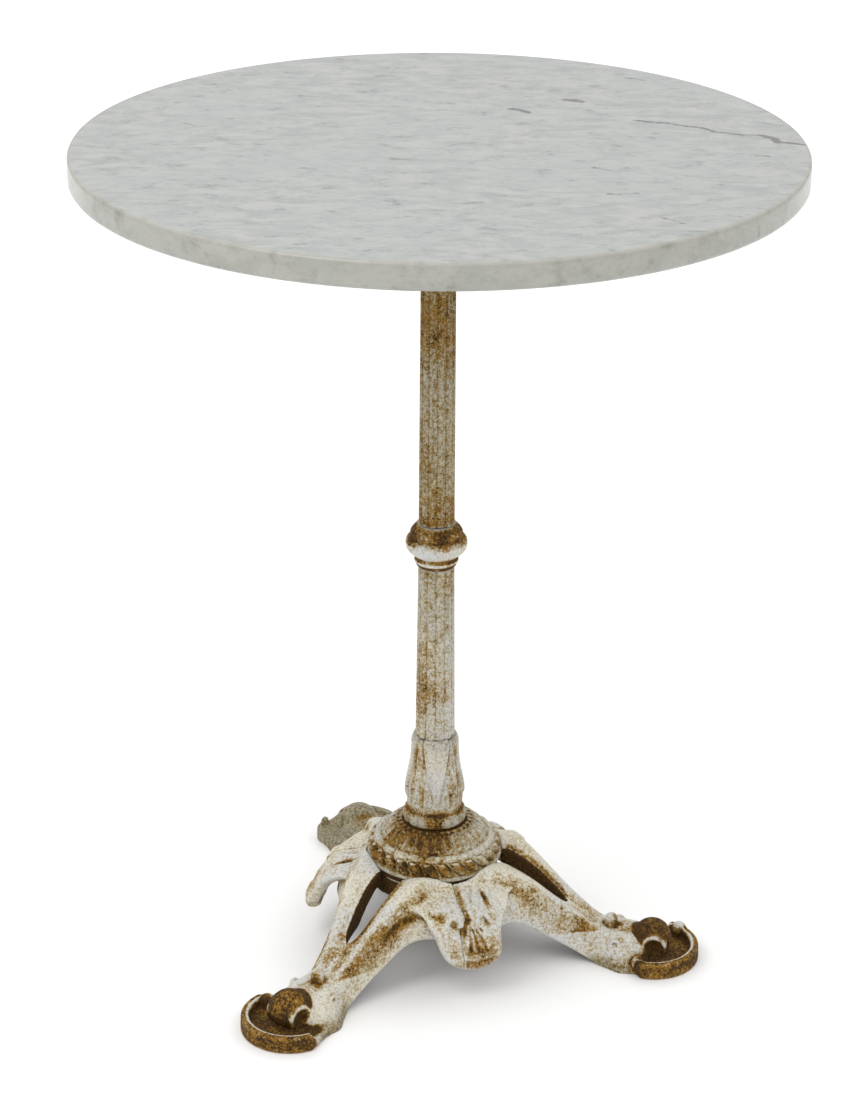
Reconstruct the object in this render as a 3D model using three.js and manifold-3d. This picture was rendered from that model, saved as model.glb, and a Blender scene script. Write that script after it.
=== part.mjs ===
// Bistro table: a round marble top on a cast iron pedestal with three legs.
// Millimetres, +Z up. The origin is on the floor, under the axis of the column.
// One threaded rod runs down the middle of the column. It clamps the spider, the two
// columns, the vase, the dome and the flanges of the three leg castings together.

import * as THREE from 'three';
import { mergeVertices } from 'three/addons/utils/BufferGeometryUtils.js';
import Module from 'manifold-3d';

const wasm = await Module();
wasm.setup();

// ---- driving dimensions ----

const FIT_GAP = 0.3;                  // clearance between two pieces that rest on each other
const TOP_HEIGHT = 737;
const TOP_RADIUS = 300;
const TOP_THICKNESS = 22;
const TOP_EDGE = 3;                   // radius of the eased edge

const SPIDER_ARMS = 4;
const SPIDER_TURN = 45;               // degrees from +X to the first arm
const SPIDER_REACH = 190;             // from the axis to the screw
const PAD_RADIUS = 15;
const PAD_THICKNESS = 7;
const SPIDER_SEAT = 700;              // top of the spider's boss, where the nut sits
const SPIDER_FOOT = 684;
const SPIDER_BOSS_RADIUS = 25;
const SOCKET_DEPTH = 8;
const ARM_WIDTH = 10;

const SCREW_RADIUS = 3;
const SCREW_HEAD_RADIUS = 6;
const SCREW_HEAD_HEIGHT = 4;
const ANCHOR_RADIUS = 5.5;
const ANCHOR_LENGTH = 13;

const ROD_RADIUS = 6;
const ROD_BORE = 7;
const ROD_FOOT = 44;
const ROD_END = 713;
const NUT_RADIUS = 10.5;              // over the corners
const NUT_HEIGHT = 9;
const WASHER_RADIUS = 14;
const WASHER_THICKNESS = 2.5;

const FLUTES = 12;
const FLUTE_DEPTH = 0.9;
const COLUMN_BORE = 9;
const UPPER_TOP_RADIUS = 14.9;
const UPPER_FOOT_RADIUS = 15.7;
const KNOP_TOP = 405;
const KNOP_FOOT = 368;
const LOWER_TOP_RADIUS = 15.9;
const LOWER_FOOT_RADIUS = 17.5;
const VASE_TOP = 206;
const VASE_FOOT = 123;

const DOME_RIM_RADIUS = 59.6;         // over the lip under the rope ring
const DOME_SEAT = 83;                 // plane between the dome and the leg flanges
const FLANGE_THICKNESS = 6;
const FLANGE_BORE = 12;
const CLAMP_PLATE_RADIUS = 40;
const CLAMP_PLATE_THICKNESS = 6;
const BOLT_CIRCLE = 27;
const BOLT_RADIUS = 4;
const BOLT_HOLE = 4.5;
const BOLT_HEAD_RADIUS = 7.5;         // over the corners
const BOLT_HEAD_HEIGHT = 5.5;
const BOLT_REACH = 12;                // how far a bolt runs up into the dome

const LEGS = 3;
const LEG_TURN = -8.6;                // degrees from +X to the first leg
const LEG_WALL = 5.5;
const SEAM_GAP = 0.4;                 // between two leg castings, in the middle of a lug
const SEAM_TURN = -4.2;               // degrees from the plane midway between two legs to the seam
const COLLAR_OUTSIDE = 56.6;          // ring under the dome, behind the slots
const COLLAR_INSIDE = 51.4;
const COLLAR_FOOT = 65;
const SLOT_RIB = 5.5;                 // thickness of the ribs that line the slot
const FOOT_REACH = 196;               // from the axis to the middle of the foot
const FOOT_RADIUS = 42.7;
const HEEL_RADIUS = 36;               // of the foot, where it has no rim
const FOOT_BALL_RADIUS = 17.5;
const FOOT_BALL_CENTRE = 19.7;
const ANKLE_REACH = 160;
const ANKLE_RADIUS = 6.5;
const ANKLE_CENTRE = 34;
const CURL_RADIUS = 5.5;
const CURL_HEIGHT = 15;
const RIM_START = -100;               // degrees round the foot, from the toe
const RIM_END = 70;
const RIM_SEAT = 8;                   // height of the dish's floor beside the rim

// ---- materials ----

const marble = new THREE.MeshStandardMaterial({ color: 0xd6d9d6, roughness: 0.18, metalness: 0 });
const paintedIron = new THREE.MeshStandardMaterial({ color: 0xd2cab4, roughness: 0.65, metalness: 0.1 });
const bareIron = new THREE.MeshStandardMaterial({ color: 0x4a3524, roughness: 0.8, metalness: 0.5 });
const steel = new THREE.MeshStandardMaterial({ color: 0x8d8a84, roughness: 0.45, metalness: 1 });
const brass = new THREE.MeshStandardMaterial({ color: 0xb08d4a, roughness: 0.4, metalness: 1 });

// ---- solids ----

const radians = THREE.MathUtils.degToRad;

function solidOf(geometry) {
  const bare = geometry.index ? geometry : mergeVertices(geometry);
  bare.deleteAttribute('normal');
  bare.deleteAttribute('uv');
  const welded = mergeVertices(bare, 1e-4);
  return new wasm.Manifold(new wasm.Mesh({
    numProp: 3,
    vertProperties: new Float32Array(welded.attributes.position.array),
    triVerts: new Uint32Array(welded.index.array),
  }));
}

function geometryOf(solid) {
  const mesh = solid.getMesh();
  const geometry = new THREE.BufferGeometry();
  geometry.setAttribute('position', new THREE.BufferAttribute(mesh.vertProperties, 3));
  geometry.setIndex(new THREE.BufferAttribute(mesh.triVerts, 1));
  geometry.computeVertexNormals();
  return geometry;
}

// A solid of revolution about Z. The profile is (radius, z) pairs, and runs upwards
// along the outside. It starts and ends on the axis, or closes on itself.
function turned(profile, segments = 28) {
  const points = profile.map(([radius, z]) => new THREE.Vector2(radius, z));
  const geometry = new THREE.LatheGeometry(points, segments);
  geometry.rotateX(Math.PI / 2);
  return solidOf(geometry);
}

function rod(radius, low, high, segments = 20) {
  return turned([[0, low], [radius, low], [radius, high], [0, high]], segments);
}

function tube(radius, bore, low, high, segments = 24) {
  return turned([[bore, low], [radius, low], [radius, high], [bore, high], [bore, low]], segments);
}

// A prism along +Z from low to high. The outline is (x, y) pairs.
function prism(outline, low, high) {
  const shape = new THREE.Shape(outline.map(([x, y]) => new THREE.Vector2(x, y)));
  const geometry = new THREE.ExtrudeGeometry(shape, { depth: high - low, bevelEnabled: false });
  geometry.translate(0, 0, low);
  return solidOf(geometry);
}

// A slab that stands up: its outline is (x, z) pairs, and it runs from -half to +half in Y.
function slab(outline, half) {
  const shape = new THREE.Shape(outline.map(([x, z]) => new THREE.Vector2(x, z)));
  const geometry = new THREE.ExtrudeGeometry(shape, { depth: 2 * half, bevelEnabled: false });
  geometry.rotateX(Math.PI / 2);
  geometry.translate(0, half, 0);
  return solidOf(geometry);
}

function ball(radius, x, y, z, segments) {
  const geometry = new THREE.SphereGeometry(radius, segments, Math.ceil(segments * 0.6));
  geometry.translate(x, y, z);
  return solidOf(geometry);
}

function onCircle(radius, degrees) {
  return [radius * Math.cos(radians(degrees)), radius * Math.sin(radians(degrees))];
}

function hexagon(radius) {
  return Array.from({ length: 6 }, (_, i) => onCircle(radius, 60 * i));
}

function wedge(radius, from, to, low, high) {
  const steps = 8;
  const outline = [[0, 0]];
  for (let i = 0; i <= steps; i += 1) {
    outline.push(onCircle(radius, from + (to - from) * i / steps));
  }
  return prism(outline, low, high);
}

// A closed outline for a curve given on one side of the X axis: its mirror follows.
function mirrored(curve) {
  return [...curve, ...curve.filter(([, y]) => y > 0).reverse().map(([x, y]) => [x, -y])];
}

// ---- marble top ----

const topUnderside = TOP_HEIGHT - TOP_THICKNESS;
const screwPlaces = Array.from(
  { length: SPIDER_ARMS },
  (_, i) => onCircle(SPIDER_REACH, SPIDER_TURN + 360 * i / SPIDER_ARMS),
);

function marbleTop() {
  const profile = [[0, topUnderside]];
  const corners = [
    [TOP_RADIUS - TOP_EDGE, topUnderside + TOP_EDGE, -90],
    [TOP_RADIUS - TOP_EDGE, TOP_HEIGHT - TOP_EDGE, 0],
  ];
  for (const [r, z, start] of corners) {
    for (let i = 0; i <= 3; i += 1) {
      const [dr, dz] = onCircle(TOP_EDGE, start + 30 * i);
      profile.push([r + dr, z + dz]);
    }
  }
  profile.push([0, TOP_HEIGHT]);
  let top = turned(profile, 80);
  const pocket = ANCHOR_LENGTH + FIT_GAP;
  for (const [x, y] of screwPlaces) {
    const hole = rod(ANCHOR_RADIUS + FIT_GAP, topUnderside - 1, topUnderside + pocket, 16);
    top = top.subtract(hole.translate([x, y, 0]));
  }
  return top;
}

function marbleAnchor([x, y]) {
  const high = topUnderside + ANCHOR_LENGTH;
  const bore = SCREW_RADIUS + FIT_GAP;
  const body = rod(ANCHOR_RADIUS, topUnderside, high, 16);
  return body.subtract(rod(bore, topUnderside - 1, high - 2, 12)).translate([x, y, 0]);
}

// ---- spider: the cast cross under the top ----

const padTop = topUnderside - FIT_GAP;
const padFoot = padTop - PAD_THICKNESS;

function topSpider() {
  let spider = rod(SPIDER_BOSS_RADIUS, SPIDER_FOOT, SPIDER_SEAT);
  const arm = slab([
    [0, SPIDER_FOOT + 2], [30, SPIDER_FOOT + 2], [60, SPIDER_FOOT + 5], [175, padFoot - 1],
    [SPIDER_REACH, padFoot], [SPIDER_REACH, padTop - 1], [165, padTop - 2], [55, SPIDER_SEAT + 1],
    [0, SPIDER_SEAT - 1],
  ], ARM_WIDTH / 2);
  for (let i = 0; i < SPIDER_ARMS; i += 1) {
    spider = spider.add(arm.rotate([0, 0, SPIDER_TURN + 360 * i / SPIDER_ARMS]));
  }
  for (const [x, y] of screwPlaces) {
    spider = spider.add(rod(PAD_RADIUS, padFoot, padTop).translate([x, y, 0]));
    const hole = rod(SCREW_RADIUS + FIT_GAP, padFoot - 5, padTop + 1, 12);
    spider = spider.subtract(hole.translate([x, y, 0]));
    const headRoom = rod(SCREW_HEAD_RADIUS + 1, padFoot - 5, padFoot, 16);
    spider = spider.subtract(headRoom.translate([x, y, 0]));
  }
  const socket = rod(UPPER_TOP_RADIUS + FIT_GAP, SPIDER_FOOT - 1, SPIDER_FOOT + SOCKET_DEPTH, 36);
  const bore = rod(ROD_BORE, SPIDER_FOOT - 1, SPIDER_SEAT + 1);
  const nutRoom = rod(WASHER_RADIUS + 2, SPIDER_SEAT, padTop + 1);
  return spider.subtract(socket).subtract(bore).subtract(nutRoom);
}

function spiderScrew([x, y]) {
  const headTop = padFoot - FIT_GAP;
  const headFoot = headTop - SCREW_HEAD_HEIGHT;
  const tip = topUnderside + ANCHOR_LENGTH - 3;
  const screw = turned([
    [0, headFoot], [SCREW_HEAD_RADIUS * 0.6, headFoot], [SCREW_HEAD_RADIUS, headFoot + 2],
    [SCREW_HEAD_RADIUS, headTop], [SCREW_RADIUS, headTop], [SCREW_RADIUS, tip], [0, tip],
  ], 16);
  const driverHalf = 0.7;
  const driverDepth = 1.2;
  const slot = slab([
    [-9, headFoot - 1], [9, headFoot - 1], [9, headFoot + driverDepth], [-9, headFoot + driverDepth],
  ], driverHalf);
  return screw.subtract(slot).translate([x, y, 0]);
}

// ---- tie rod, nuts and washers ----

function nut(low) {
  const thread = rod(ROD_RADIUS + FIT_GAP, low - 1, low + NUT_HEIGHT + 1);
  return prism(hexagon(NUT_RADIUS), low, low + NUT_HEIGHT).subtract(thread);
}

function washer(low) {
  return tube(WASHER_RADIUS, ROD_RADIUS + FIT_GAP, low, low + WASHER_THICKNESS, 24);
}

// ---- columns ----

// A fluted pipe that tapers evenly from one end to the other.
function flutedPipe(low, high, lowRadius, highRadius) {
  const perFlute = 4;
  const outline = [];
  for (let i = 0; i < FLUTES * perFlute; i += 1) {
    const share = (i % perFlute) / perFlute;
    const dip = FLUTE_DEPTH * Math.sin(Math.PI * share);
    const [x, y] = onCircle(1, 360 * i / (FLUTES * perFlute));
    outline.push([x * (lowRadius - dip), y * (lowRadius - dip)]);
  }
  const shape = new THREE.Shape(outline.map(([x, y]) => new THREE.Vector2(x, y)));
  const geometry = new THREE.ExtrudeGeometry(shape, { depth: high - low, bevelEnabled: false });
  const place = geometry.attributes.position;
  for (let i = 0; i < place.count; i += 1) {
    const share = place.getZ(i) / (high - low);
    const scale = 1 + share * (highRadius / lowRadius - 1);
    place.setXYZ(i, place.getX(i) * scale, place.getY(i) * scale, place.getZ(i) + low);
  }
  return solidOf(geometry).subtract(rod(COLUMN_BORE, low - 1, high + 1));
}

function columnKnop() {
  const spigotTop = KNOP_TOP + 2;
  return turned([
    [COLUMN_BORE, KNOP_FOOT], [16.4, KNOP_FOOT], [17.2, 371], [18.8, 374], [19, 377.5], [21.8, 380.5],
    [24.6, 383], [26.2, 386.5], [26.5, 389.5], [25.8, 393], [23.8, 397], [22.6, 400],
    [20.6, 403.5], [18, spigotTop - 0.5], [COLUMN_BORE, spigotTop - 0.5], [COLUMN_BORE, KNOP_FOOT],
  ]);
}

function vase() {
  return turned([
    [COLUMN_BORE, VASE_FOOT], [26, VASE_FOOT], [27.8, 126], [28, 129.5], [26.6, 133.5],
    [25.2, 136.5], [25.2, 140], [25.8, 145], [26.2, 150], [25.6, 157], [24.4, 165], [22.9, 172],
    [21.9, 180], [21.2, 190], [20.8, 198], [19.9, 203], [18.4, VASE_TOP], [COLUMN_BORE, VASE_TOP],
    [COLUMN_BORE, VASE_FOOT],
  ]);
}

// ---- dome: the cast cap over the leg flanges ----

const boltPlaces = Array.from(
  { length: LEGS },
  (_, i) => onCircle(BOLT_CIRCLE, LEG_TURN + 360 * i / LEGS),
);

function hubDome() {
  const foot = DOME_SEAT + FIT_GAP;
  const high = VASE_FOOT - FIT_GAP;
  let dome = turned([
    [ROD_BORE, foot], [57, foot], [57.2, 87.6], [DOME_RIM_RADIUS - 0.4, 89.4],
    [DOME_RIM_RADIUS, 91], [57.4, 93], [58.4, 96.5], [57.8, 99], [55.8, 101.2], [52.4, 103.2],
    [48.4, 104.4], [45.6, 106.2], [42.6, 110], [39.4, 113.8], [36.4, 117.4], [33.6, 120.6],
    [31, high], [ROD_BORE, high], [ROD_BORE, foot],
  ]);
  const hollow = turned([
    [37, foot - 1], [53, foot - 1], [51, 95], [45, 100], [40, 102], [37, 100], [37, foot - 1],
  ]);
  dome = dome.subtract(hollow);
  for (const [x, y] of boltPlaces) {
    const hole = rod(BOLT_HOLE, foot - 1, foot + BOLT_REACH + 2, 16);
    dome = dome.subtract(hole.translate([x, y, 0]));
  }
  return dome;
}

// ---- legs ----

// One leg points along +X here. Its flange, half of each lug beside it and its foot are one
// casting. Side views are (x, z) pairs, and plans are (x, y) pairs for one side of the leg.

const ridge = [
  [0, 94], [60, 94], [71, 91], [80, 86.5], [90, 80], [100, 71.5], [110, 62.5], [120, 53.5],
  [130, 46], [140, 38], [147, 32.5], [153, 29], [176, 27], [192, 27],
];
const backPlan = [
  [20, 36], [84, 36], [96, 31], [107, 26.5], [119, 22], [135, 18.5], [150, 18], [163, 20],
  [172, 20], [184, 16], [192, 11],
];
const flank = [
  [60, 66], [100, 62], [110, 53], [120, 42], [130, 34], [140, 26], [150, 19], [165, 17], [176, 15],
];
const flankPlan = [
  [60, 36], [84, 40], [96, 36], [107, 31.5], [119, 27.5], [135, 24.5], [150, 26], [163, 29],
  [176, 28],
];
const shoulder = [[0, 83], [62, 83], [72, 82], [82, 80], [93, 75], [103, 66]];
const shoulderPlan = [[20, 70], [58, 66], [66, 56], [75, 47], [86, 39], [96, 34], [103, 31]];
const lugOutside = [
  [61, 83], [70, 82.5], [82, 80], [93, 75], [103, 66], [112, 53], [117, 42], [116, 33], [110, 27],
];
const lugInside = [
  [60, 76], [70, 76], [80, 73.5], [89, 68], [96, 60], [102, 49], [103, 42], [102, 20],
];

// The slot in a leg's back and the foot of the ribs beside it: distance from the axis, and half
// width or height.
const slotPlan = [[50, 11], [62, 12], [80, 11.5], [100, 8.5], [111, 6], [117, 3.5], [120, 1]];
const ribFoot = [[57, 75], [66, 73], [80, 60], [93, 48], [108, 43], [124, 39]];

// The lug reaches further on one side of the plane midway between two legs than on the other.
// The opening under it is given as distance from that plane, and height.
const archCrown = [[42, 48], [52, 44.5], [61, 39], [80, 26], [100, 13], [116, 2]];
const lugSides = [
  {
    side: 1,
    halfWidth: 33,
    arch: [[-12, 31], [6, 31], [13, 33.5], [20, 38.5], [26, 44], [33, 47], ...archCrown],
  },
  {
    side: -1,
    halfWidth: 20,
    arch: [[-12, 31], [0, 31], [5, 33], [9, 36], [14, 41], [20, 46], [28, 48], ...archCrown],
  },
];
const LUG_WALL = 7;

function beam(sideView, planView, low) {
  const end = sideView.at(-1)[0];
  const side = slab([[0, low], [end, low], ...[...sideView].reverse()], 90);
  const outline = mirrored([[0, 0], ...planView, [planView.at(-1)[0] + 1, 0]]);
  return side.intersect(prism(outline, low, 120));
}

function inset(curve, along, across) {
  return curve.map(([x, y]) => [x - along, y - across]);
}

// A slab along the middle of the lug on one side of the leg, +1 or -1.
function besideLug(outline, side) {
  const half = 120;
  const cutter = slab(outline, half).translate([0, half, 0]).rotate([0, 0, -30]);
  return side > 0 ? cutter : cutter.mirror([0, 1, 0]);
}

function lug(profile, low, halfWidth, side) {
  const [last] = profile.at(-1);
  const whole = turned([[0, low], [last, low], ...[...profile].reverse(), [0, profile[0][1]]], 48);
  return whole.intersect(besideLug([[-12, 0], [halfWidth, 0], [halfWidth, 90], [-12, 90]], side));
}

function foot() {
  const dish = turned([
    [0, 0], [FOOT_RADIUS - 1.5, 0], [FOOT_RADIUS, 2.5], [FOOT_RADIUS, 8], [41, 12], [39, 14.6],
    [36.6, 15], [34.6, 12.5], [32.5, 8.5], [0, 6],
  ], 32);
  const heel = wedge(60, RIM_END, 360 + RIM_START, -1, 20);
  let whole = dish.subtract(wedge(60, RIM_END, 360 + RIM_START, RIM_SEAT, 20));
  whole = whole.subtract(heel.subtract(rod(HEEL_RADIUS, -2, 21, 32)));
  whole = whole.add(ball(FOOT_BALL_RADIUS, 0, 0, FOOT_BALL_CENTRE, 18));
  for (const angle of [RIM_START, RIM_END]) {
    const [x, y] = onCircle(FOOT_RADIUS - CURL_RADIUS, angle);
    whole = whole.add(ball(CURL_RADIUS, x, y, CURL_HEIGHT, 10));
  }
  return whole.translate([FOOT_REACH, 0, 0]);
}

// The walls that line the slot, before the slot is cut through them.
function slotRibs() {
  const underRidge = inset(ridge.slice(1, 9), 0, 1);
  const side = slab([...ribFoot, ...underRidge.reverse()], 40);
  const outline = slotPlan.map(([x, half]) => [x, half + SLOT_RIB]);
  return side.intersect(prism(mirrored([...outline, [124, 2]]), 0, 120));
}

function legCasting() {
  const flangeFoot = DOME_SEAT - FLANGE_THICKNESS;
  const innerRidge = [
    [0, flangeFoot], [60, flangeFoot], [80, 76], ...inset(ridge.slice(4, 11), 3, LEG_WALL),
  ];
  const innerBack = inset(backPlan.slice(0, 8), 2, LEG_WALL);
  const innerShoulder = [[0, flangeFoot], [62, flangeFoot], [72, 76], [80, 74], [90, 69], [98, 62]];
  let leg = beam(ridge, backPlan, 0).add(beam(flank, flankPlan, 0)).add(beam(shoulder, shoulderPlan, 0));
  let hollow = beam([...innerRidge, [158, 20]], innerBack, -2);
  hollow = hollow.add(beam(innerShoulder, inset(shoulderPlan, 4, LEG_WALL), -2));
  for (const { side, halfWidth } of lugSides) {
    leg = leg.add(lug(lugOutside, 26, halfWidth, side));
    hollow = hollow.add(lug(lugInside, 20, halfWidth - LUG_WALL, side));
  }
  leg = leg.subtract(hollow).add(slotRibs());
  for (const { side, arch } of lugSides) {
    leg = leg.subtract(besideLug([[-12, -10], ...arch, [118, -10]], side));
  }
  const slot = prism(mirrored(slotPlan), 30, 120);
  const domeRoom = rod(DOME_RIM_RADIUS + 0.6, DOME_SEAT, 130, 48);
  const flangeBore = rod(FLANGE_BORE, 0, 130);
  const boltHole = rod(BOLT_HOLE, 0, 130, 16).translate([BOLT_CIRCLE, 0, 0]);
  leg = leg.subtract(slot).add(tube(COLLAR_OUTSIDE, COLLAR_INSIDE, COLLAR_FOOT, DOME_SEAT, 48));
  leg = leg.subtract(domeRoom).subtract(flangeBore).subtract(boltHole);
  leg = leg.add(foot()).add(ball(ANKLE_RADIUS, ANKLE_REACH, 0, ANKLE_CENTRE, 12));
  const halfSeam = THREE.MathUtils.radToDeg(SEAM_GAP / 2 / DOME_RIM_RADIUS);
  const half = 180 / LEGS;
  const share = wedge(400, SEAM_TURN - half + halfSeam, SEAM_TURN + half - halfSeam, -20, 140);
  return leg.intersect(share);
}

function clampPlate() {
  const high = DOME_SEAT - FLANGE_THICKNESS - FIT_GAP;
  let plate = tube(CLAMP_PLATE_RADIUS, ROD_BORE, high - CLAMP_PLATE_THICKNESS, high, 32);
  for (const [x, y] of boltPlaces) {
    plate = plate.subtract(rod(BOLT_HOLE, 0, 130, 16).translate([x, y, 0]));
  }
  return plate;
}

const clampFoot = DOME_SEAT - FLANGE_THICKNESS - FIT_GAP - CLAMP_PLATE_THICKNESS;

function legBolt([x, y]) {
  const headTop = clampFoot - FIT_GAP;
  const head = prism(hexagon(BOLT_HEAD_RADIUS), headTop - BOLT_HEAD_HEIGHT, headTop);
  const shank = rod(BOLT_RADIUS, headTop - 1, DOME_SEAT + BOLT_REACH, 16);
  return head.add(shank).translate([x, y, 0]);
}

// ---- assembly ----

const table = new THREE.Group();
table.name = 'bistro_table';

function place(name, solid, material, parent = table) {
  const mesh = new THREE.Mesh(geometryOf(solid), material);
  mesh.name = name;
  parent.add(mesh);
  return mesh;
}

place('marble_top', marbleTop(), marble);
place('top_spider', topSpider(), bareIron);
screwPlaces.forEach((where, i) => {
  place(`marble_anchor_${i + 1}`, marbleAnchor(where), brass);
  place(`spider_screw_${i + 1}`, spiderScrew(where), steel);
});

const topWasher = SPIDER_SEAT + FIT_GAP;
const footWasher = clampFoot - FIT_GAP - WASHER_THICKNESS;
const footNut = footWasher - FIT_GAP - NUT_HEIGHT;
const upperFoot = KNOP_TOP + 2 - 0.5 + FIT_GAP;
place('tie_rod', rod(ROD_RADIUS, ROD_FOOT, ROD_END), steel);
place('rod_top_washer', washer(topWasher), steel);
place('rod_top_nut', nut(topWasher + WASHER_THICKNESS + FIT_GAP), steel);
place('rod_foot_washer', washer(footWasher), steel);
place('rod_foot_nut', nut(footNut), steel);
place('rod_lock_nut', nut(footNut - FIT_GAP - NUT_HEIGHT), steel);

place('upper_column', flutedPipe(
  upperFoot, SPIDER_FOOT + SOCKET_DEPTH - FIT_GAP, UPPER_FOOT_RADIUS, UPPER_TOP_RADIUS,
), paintedIron);
place('column_knop', columnKnop(), paintedIron);
place('lower_column', flutedPipe(
  VASE_TOP + FIT_GAP, KNOP_FOOT - FIT_GAP, LOWER_FOOT_RADIUS, LOWER_TOP_RADIUS,
), paintedIron);
place('vase', vase(), paintedIron);
place('hub_dome', hubDome(), paintedIron);
place('clamp_plate', clampPlate(), bareIron);

for (let i = 0; i < LEGS; i += 1) {
  const turn = new THREE.Group();
  turn.rotation.z = radians(LEG_TURN + 360 * i / LEGS);
  table.add(turn);
  place(`leg_${i + 1}`, legCasting(), paintedIron, turn);
  place(`leg_bolt_${i + 1}`, legBolt(boltPlaces[i]), steel);
}

export default table;
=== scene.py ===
"""Bistro table: marble top, fluted cast iron column, domed hub and three slotted legs.

The castings are sculpted as distance fields on a grid and turned into meshes, and the turned
pieces are grids of a profile against an angle, with their relief pushed out along the normal.
Lengths in the sculpting code are millimetres in the row frame; meshes are stored in metres.
"""

import math

import bmesh
import bpy
import numpy as np
from mathutils import Matrix, Vector


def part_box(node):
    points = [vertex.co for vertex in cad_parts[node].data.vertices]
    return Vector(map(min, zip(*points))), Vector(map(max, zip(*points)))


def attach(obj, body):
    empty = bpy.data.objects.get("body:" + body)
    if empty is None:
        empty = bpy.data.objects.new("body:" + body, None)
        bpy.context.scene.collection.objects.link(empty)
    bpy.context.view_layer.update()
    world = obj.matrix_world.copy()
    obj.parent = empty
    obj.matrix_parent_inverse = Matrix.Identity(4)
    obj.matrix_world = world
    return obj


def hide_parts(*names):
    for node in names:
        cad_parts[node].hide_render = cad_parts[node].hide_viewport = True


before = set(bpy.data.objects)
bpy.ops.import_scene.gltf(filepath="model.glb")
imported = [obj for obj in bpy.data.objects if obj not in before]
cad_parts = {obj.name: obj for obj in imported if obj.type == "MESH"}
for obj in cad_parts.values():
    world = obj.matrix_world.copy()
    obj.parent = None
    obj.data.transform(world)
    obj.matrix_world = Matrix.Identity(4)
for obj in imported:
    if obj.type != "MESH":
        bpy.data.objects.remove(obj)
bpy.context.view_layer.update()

MM = 0.001

# ---------------- dimensions, millimetres

TOP_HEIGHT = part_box("marble_top")[1].z / MM
TOP_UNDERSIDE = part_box("marble_top")[0].z / MM
TOP_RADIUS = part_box("marble_top")[1].x / MM
DOME_SEAT = 83.0               # height of the legs' seat for the dome
DOME_RIM_RADIUS = 59.6
DOME_CLEARANCE = 0.8
LEG_ANGLES = {"leg_1": -8.6, "leg_2": 111.4, "leg_3": 231.4}    # degrees from +X
LEG_STEP = 1.1                 # grid of the leg's distance field
LEG_LOW = (5, -111, -3)        # corners of that grid
LEG_HIGH = (244, 109, 102)
WALL = 5.5
FOOT_REACH = 196.0             # from the axis to the middle of a foot


# ---------------- small numeric helpers

def smooth_min(a, b, k):
    """The smaller of two distance fields, with a fillet of about k."""
    h = np.clip(0.5 + 0.5 * (b - a) / k, 0, 1)
    return b + (a - b) * h - k * h * (1 - h)


def smooth_max(a, b, k):
    """The larger of two distance fields, with a fillet of about k."""
    return -smooth_min(-a, -b, k)


def soft_step(x, low, high):
    """0 at low and 1 at high, with an even start and end. low may be the larger of the two."""
    t = np.clip((x - low) / (high - low), 0, 1)
    return t * t * (3 - 2 * t)


def line(x, points, blur=0.0):
    """Height of a polyline at x, with its corners rounded over a length of about 2 * blur."""
    xs, ys = zip(*points)
    shifts = np.linspace(-blur, blur, 5) if blur else [0.0]
    return sum(np.interp(x + s, xs, ys) for s in shifts) / len(shifts)


def path_distance(x, y, points):
    """Distance from (x, y) to a polyline."""
    best = None
    for (ax, ay), (bx, by) in zip(points, points[1:]):
        ux, uy = bx - ax, by - ay
        t = np.clip(((x - ax) * ux + (y - ay) * uy) / (ux * ux + uy * uy), 0, 1)
        d = np.hypot(x - ax - t * ux, y - ay - t * uy)
        best = d if best is None else np.minimum(best, d)
    return best


def path_distance_3d(x, y, z, points):
    """Distance from (x, y, z) to a polyline in space."""
    best = None
    for a, b in zip(np.array(points[:-1], float), np.array(points[1:], float)):
        u = b - a
        t = ((x - a[0]) * u[0] + (y - a[1]) * u[1] + (z - a[2]) * u[2]) / (u @ u)
        t = np.clip(t, 0, 1)
        d = away_from(x - t * u[0], y - t * u[1], z - t * u[2], a)
        best = d if best is None else np.minimum(best, d)
    return best


def away_from(x, y, z, point):
    """Distance from (x, y, z) to a point."""
    return np.sqrt((x - point[0]) ** 2 + (y - point[1]) ** 2 + (z - point[2]) ** 2)


def bell(value, width):
    """1 where the value is 0, and nearly 0 where it is more than twice the width."""
    return np.exp(-(value / width) ** 2)


def band(value, low, high, soft):
    """1 between low and high, falling to 0 over soft at both ends."""
    return soft_step(value, low - soft, low) * soft_step(value, high + soft, high)


def waves(points, length, seed, count=18):
    """A smooth random field between about -1 and 1, of the given wavelength."""
    rng = np.random.default_rng(seed)
    total = np.zeros(len(points))
    for _ in range(count):
        direction = rng.normal(size=3)
        direction /= np.linalg.norm(direction)
        pace = 2 * math.pi / (length * rng.uniform(0.6, 1.6))
        total += np.sin(points @ (direction * pace) + rng.uniform(0, 2 * math.pi))
    return total / math.sqrt(count)


# ---------------- meshes

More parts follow.
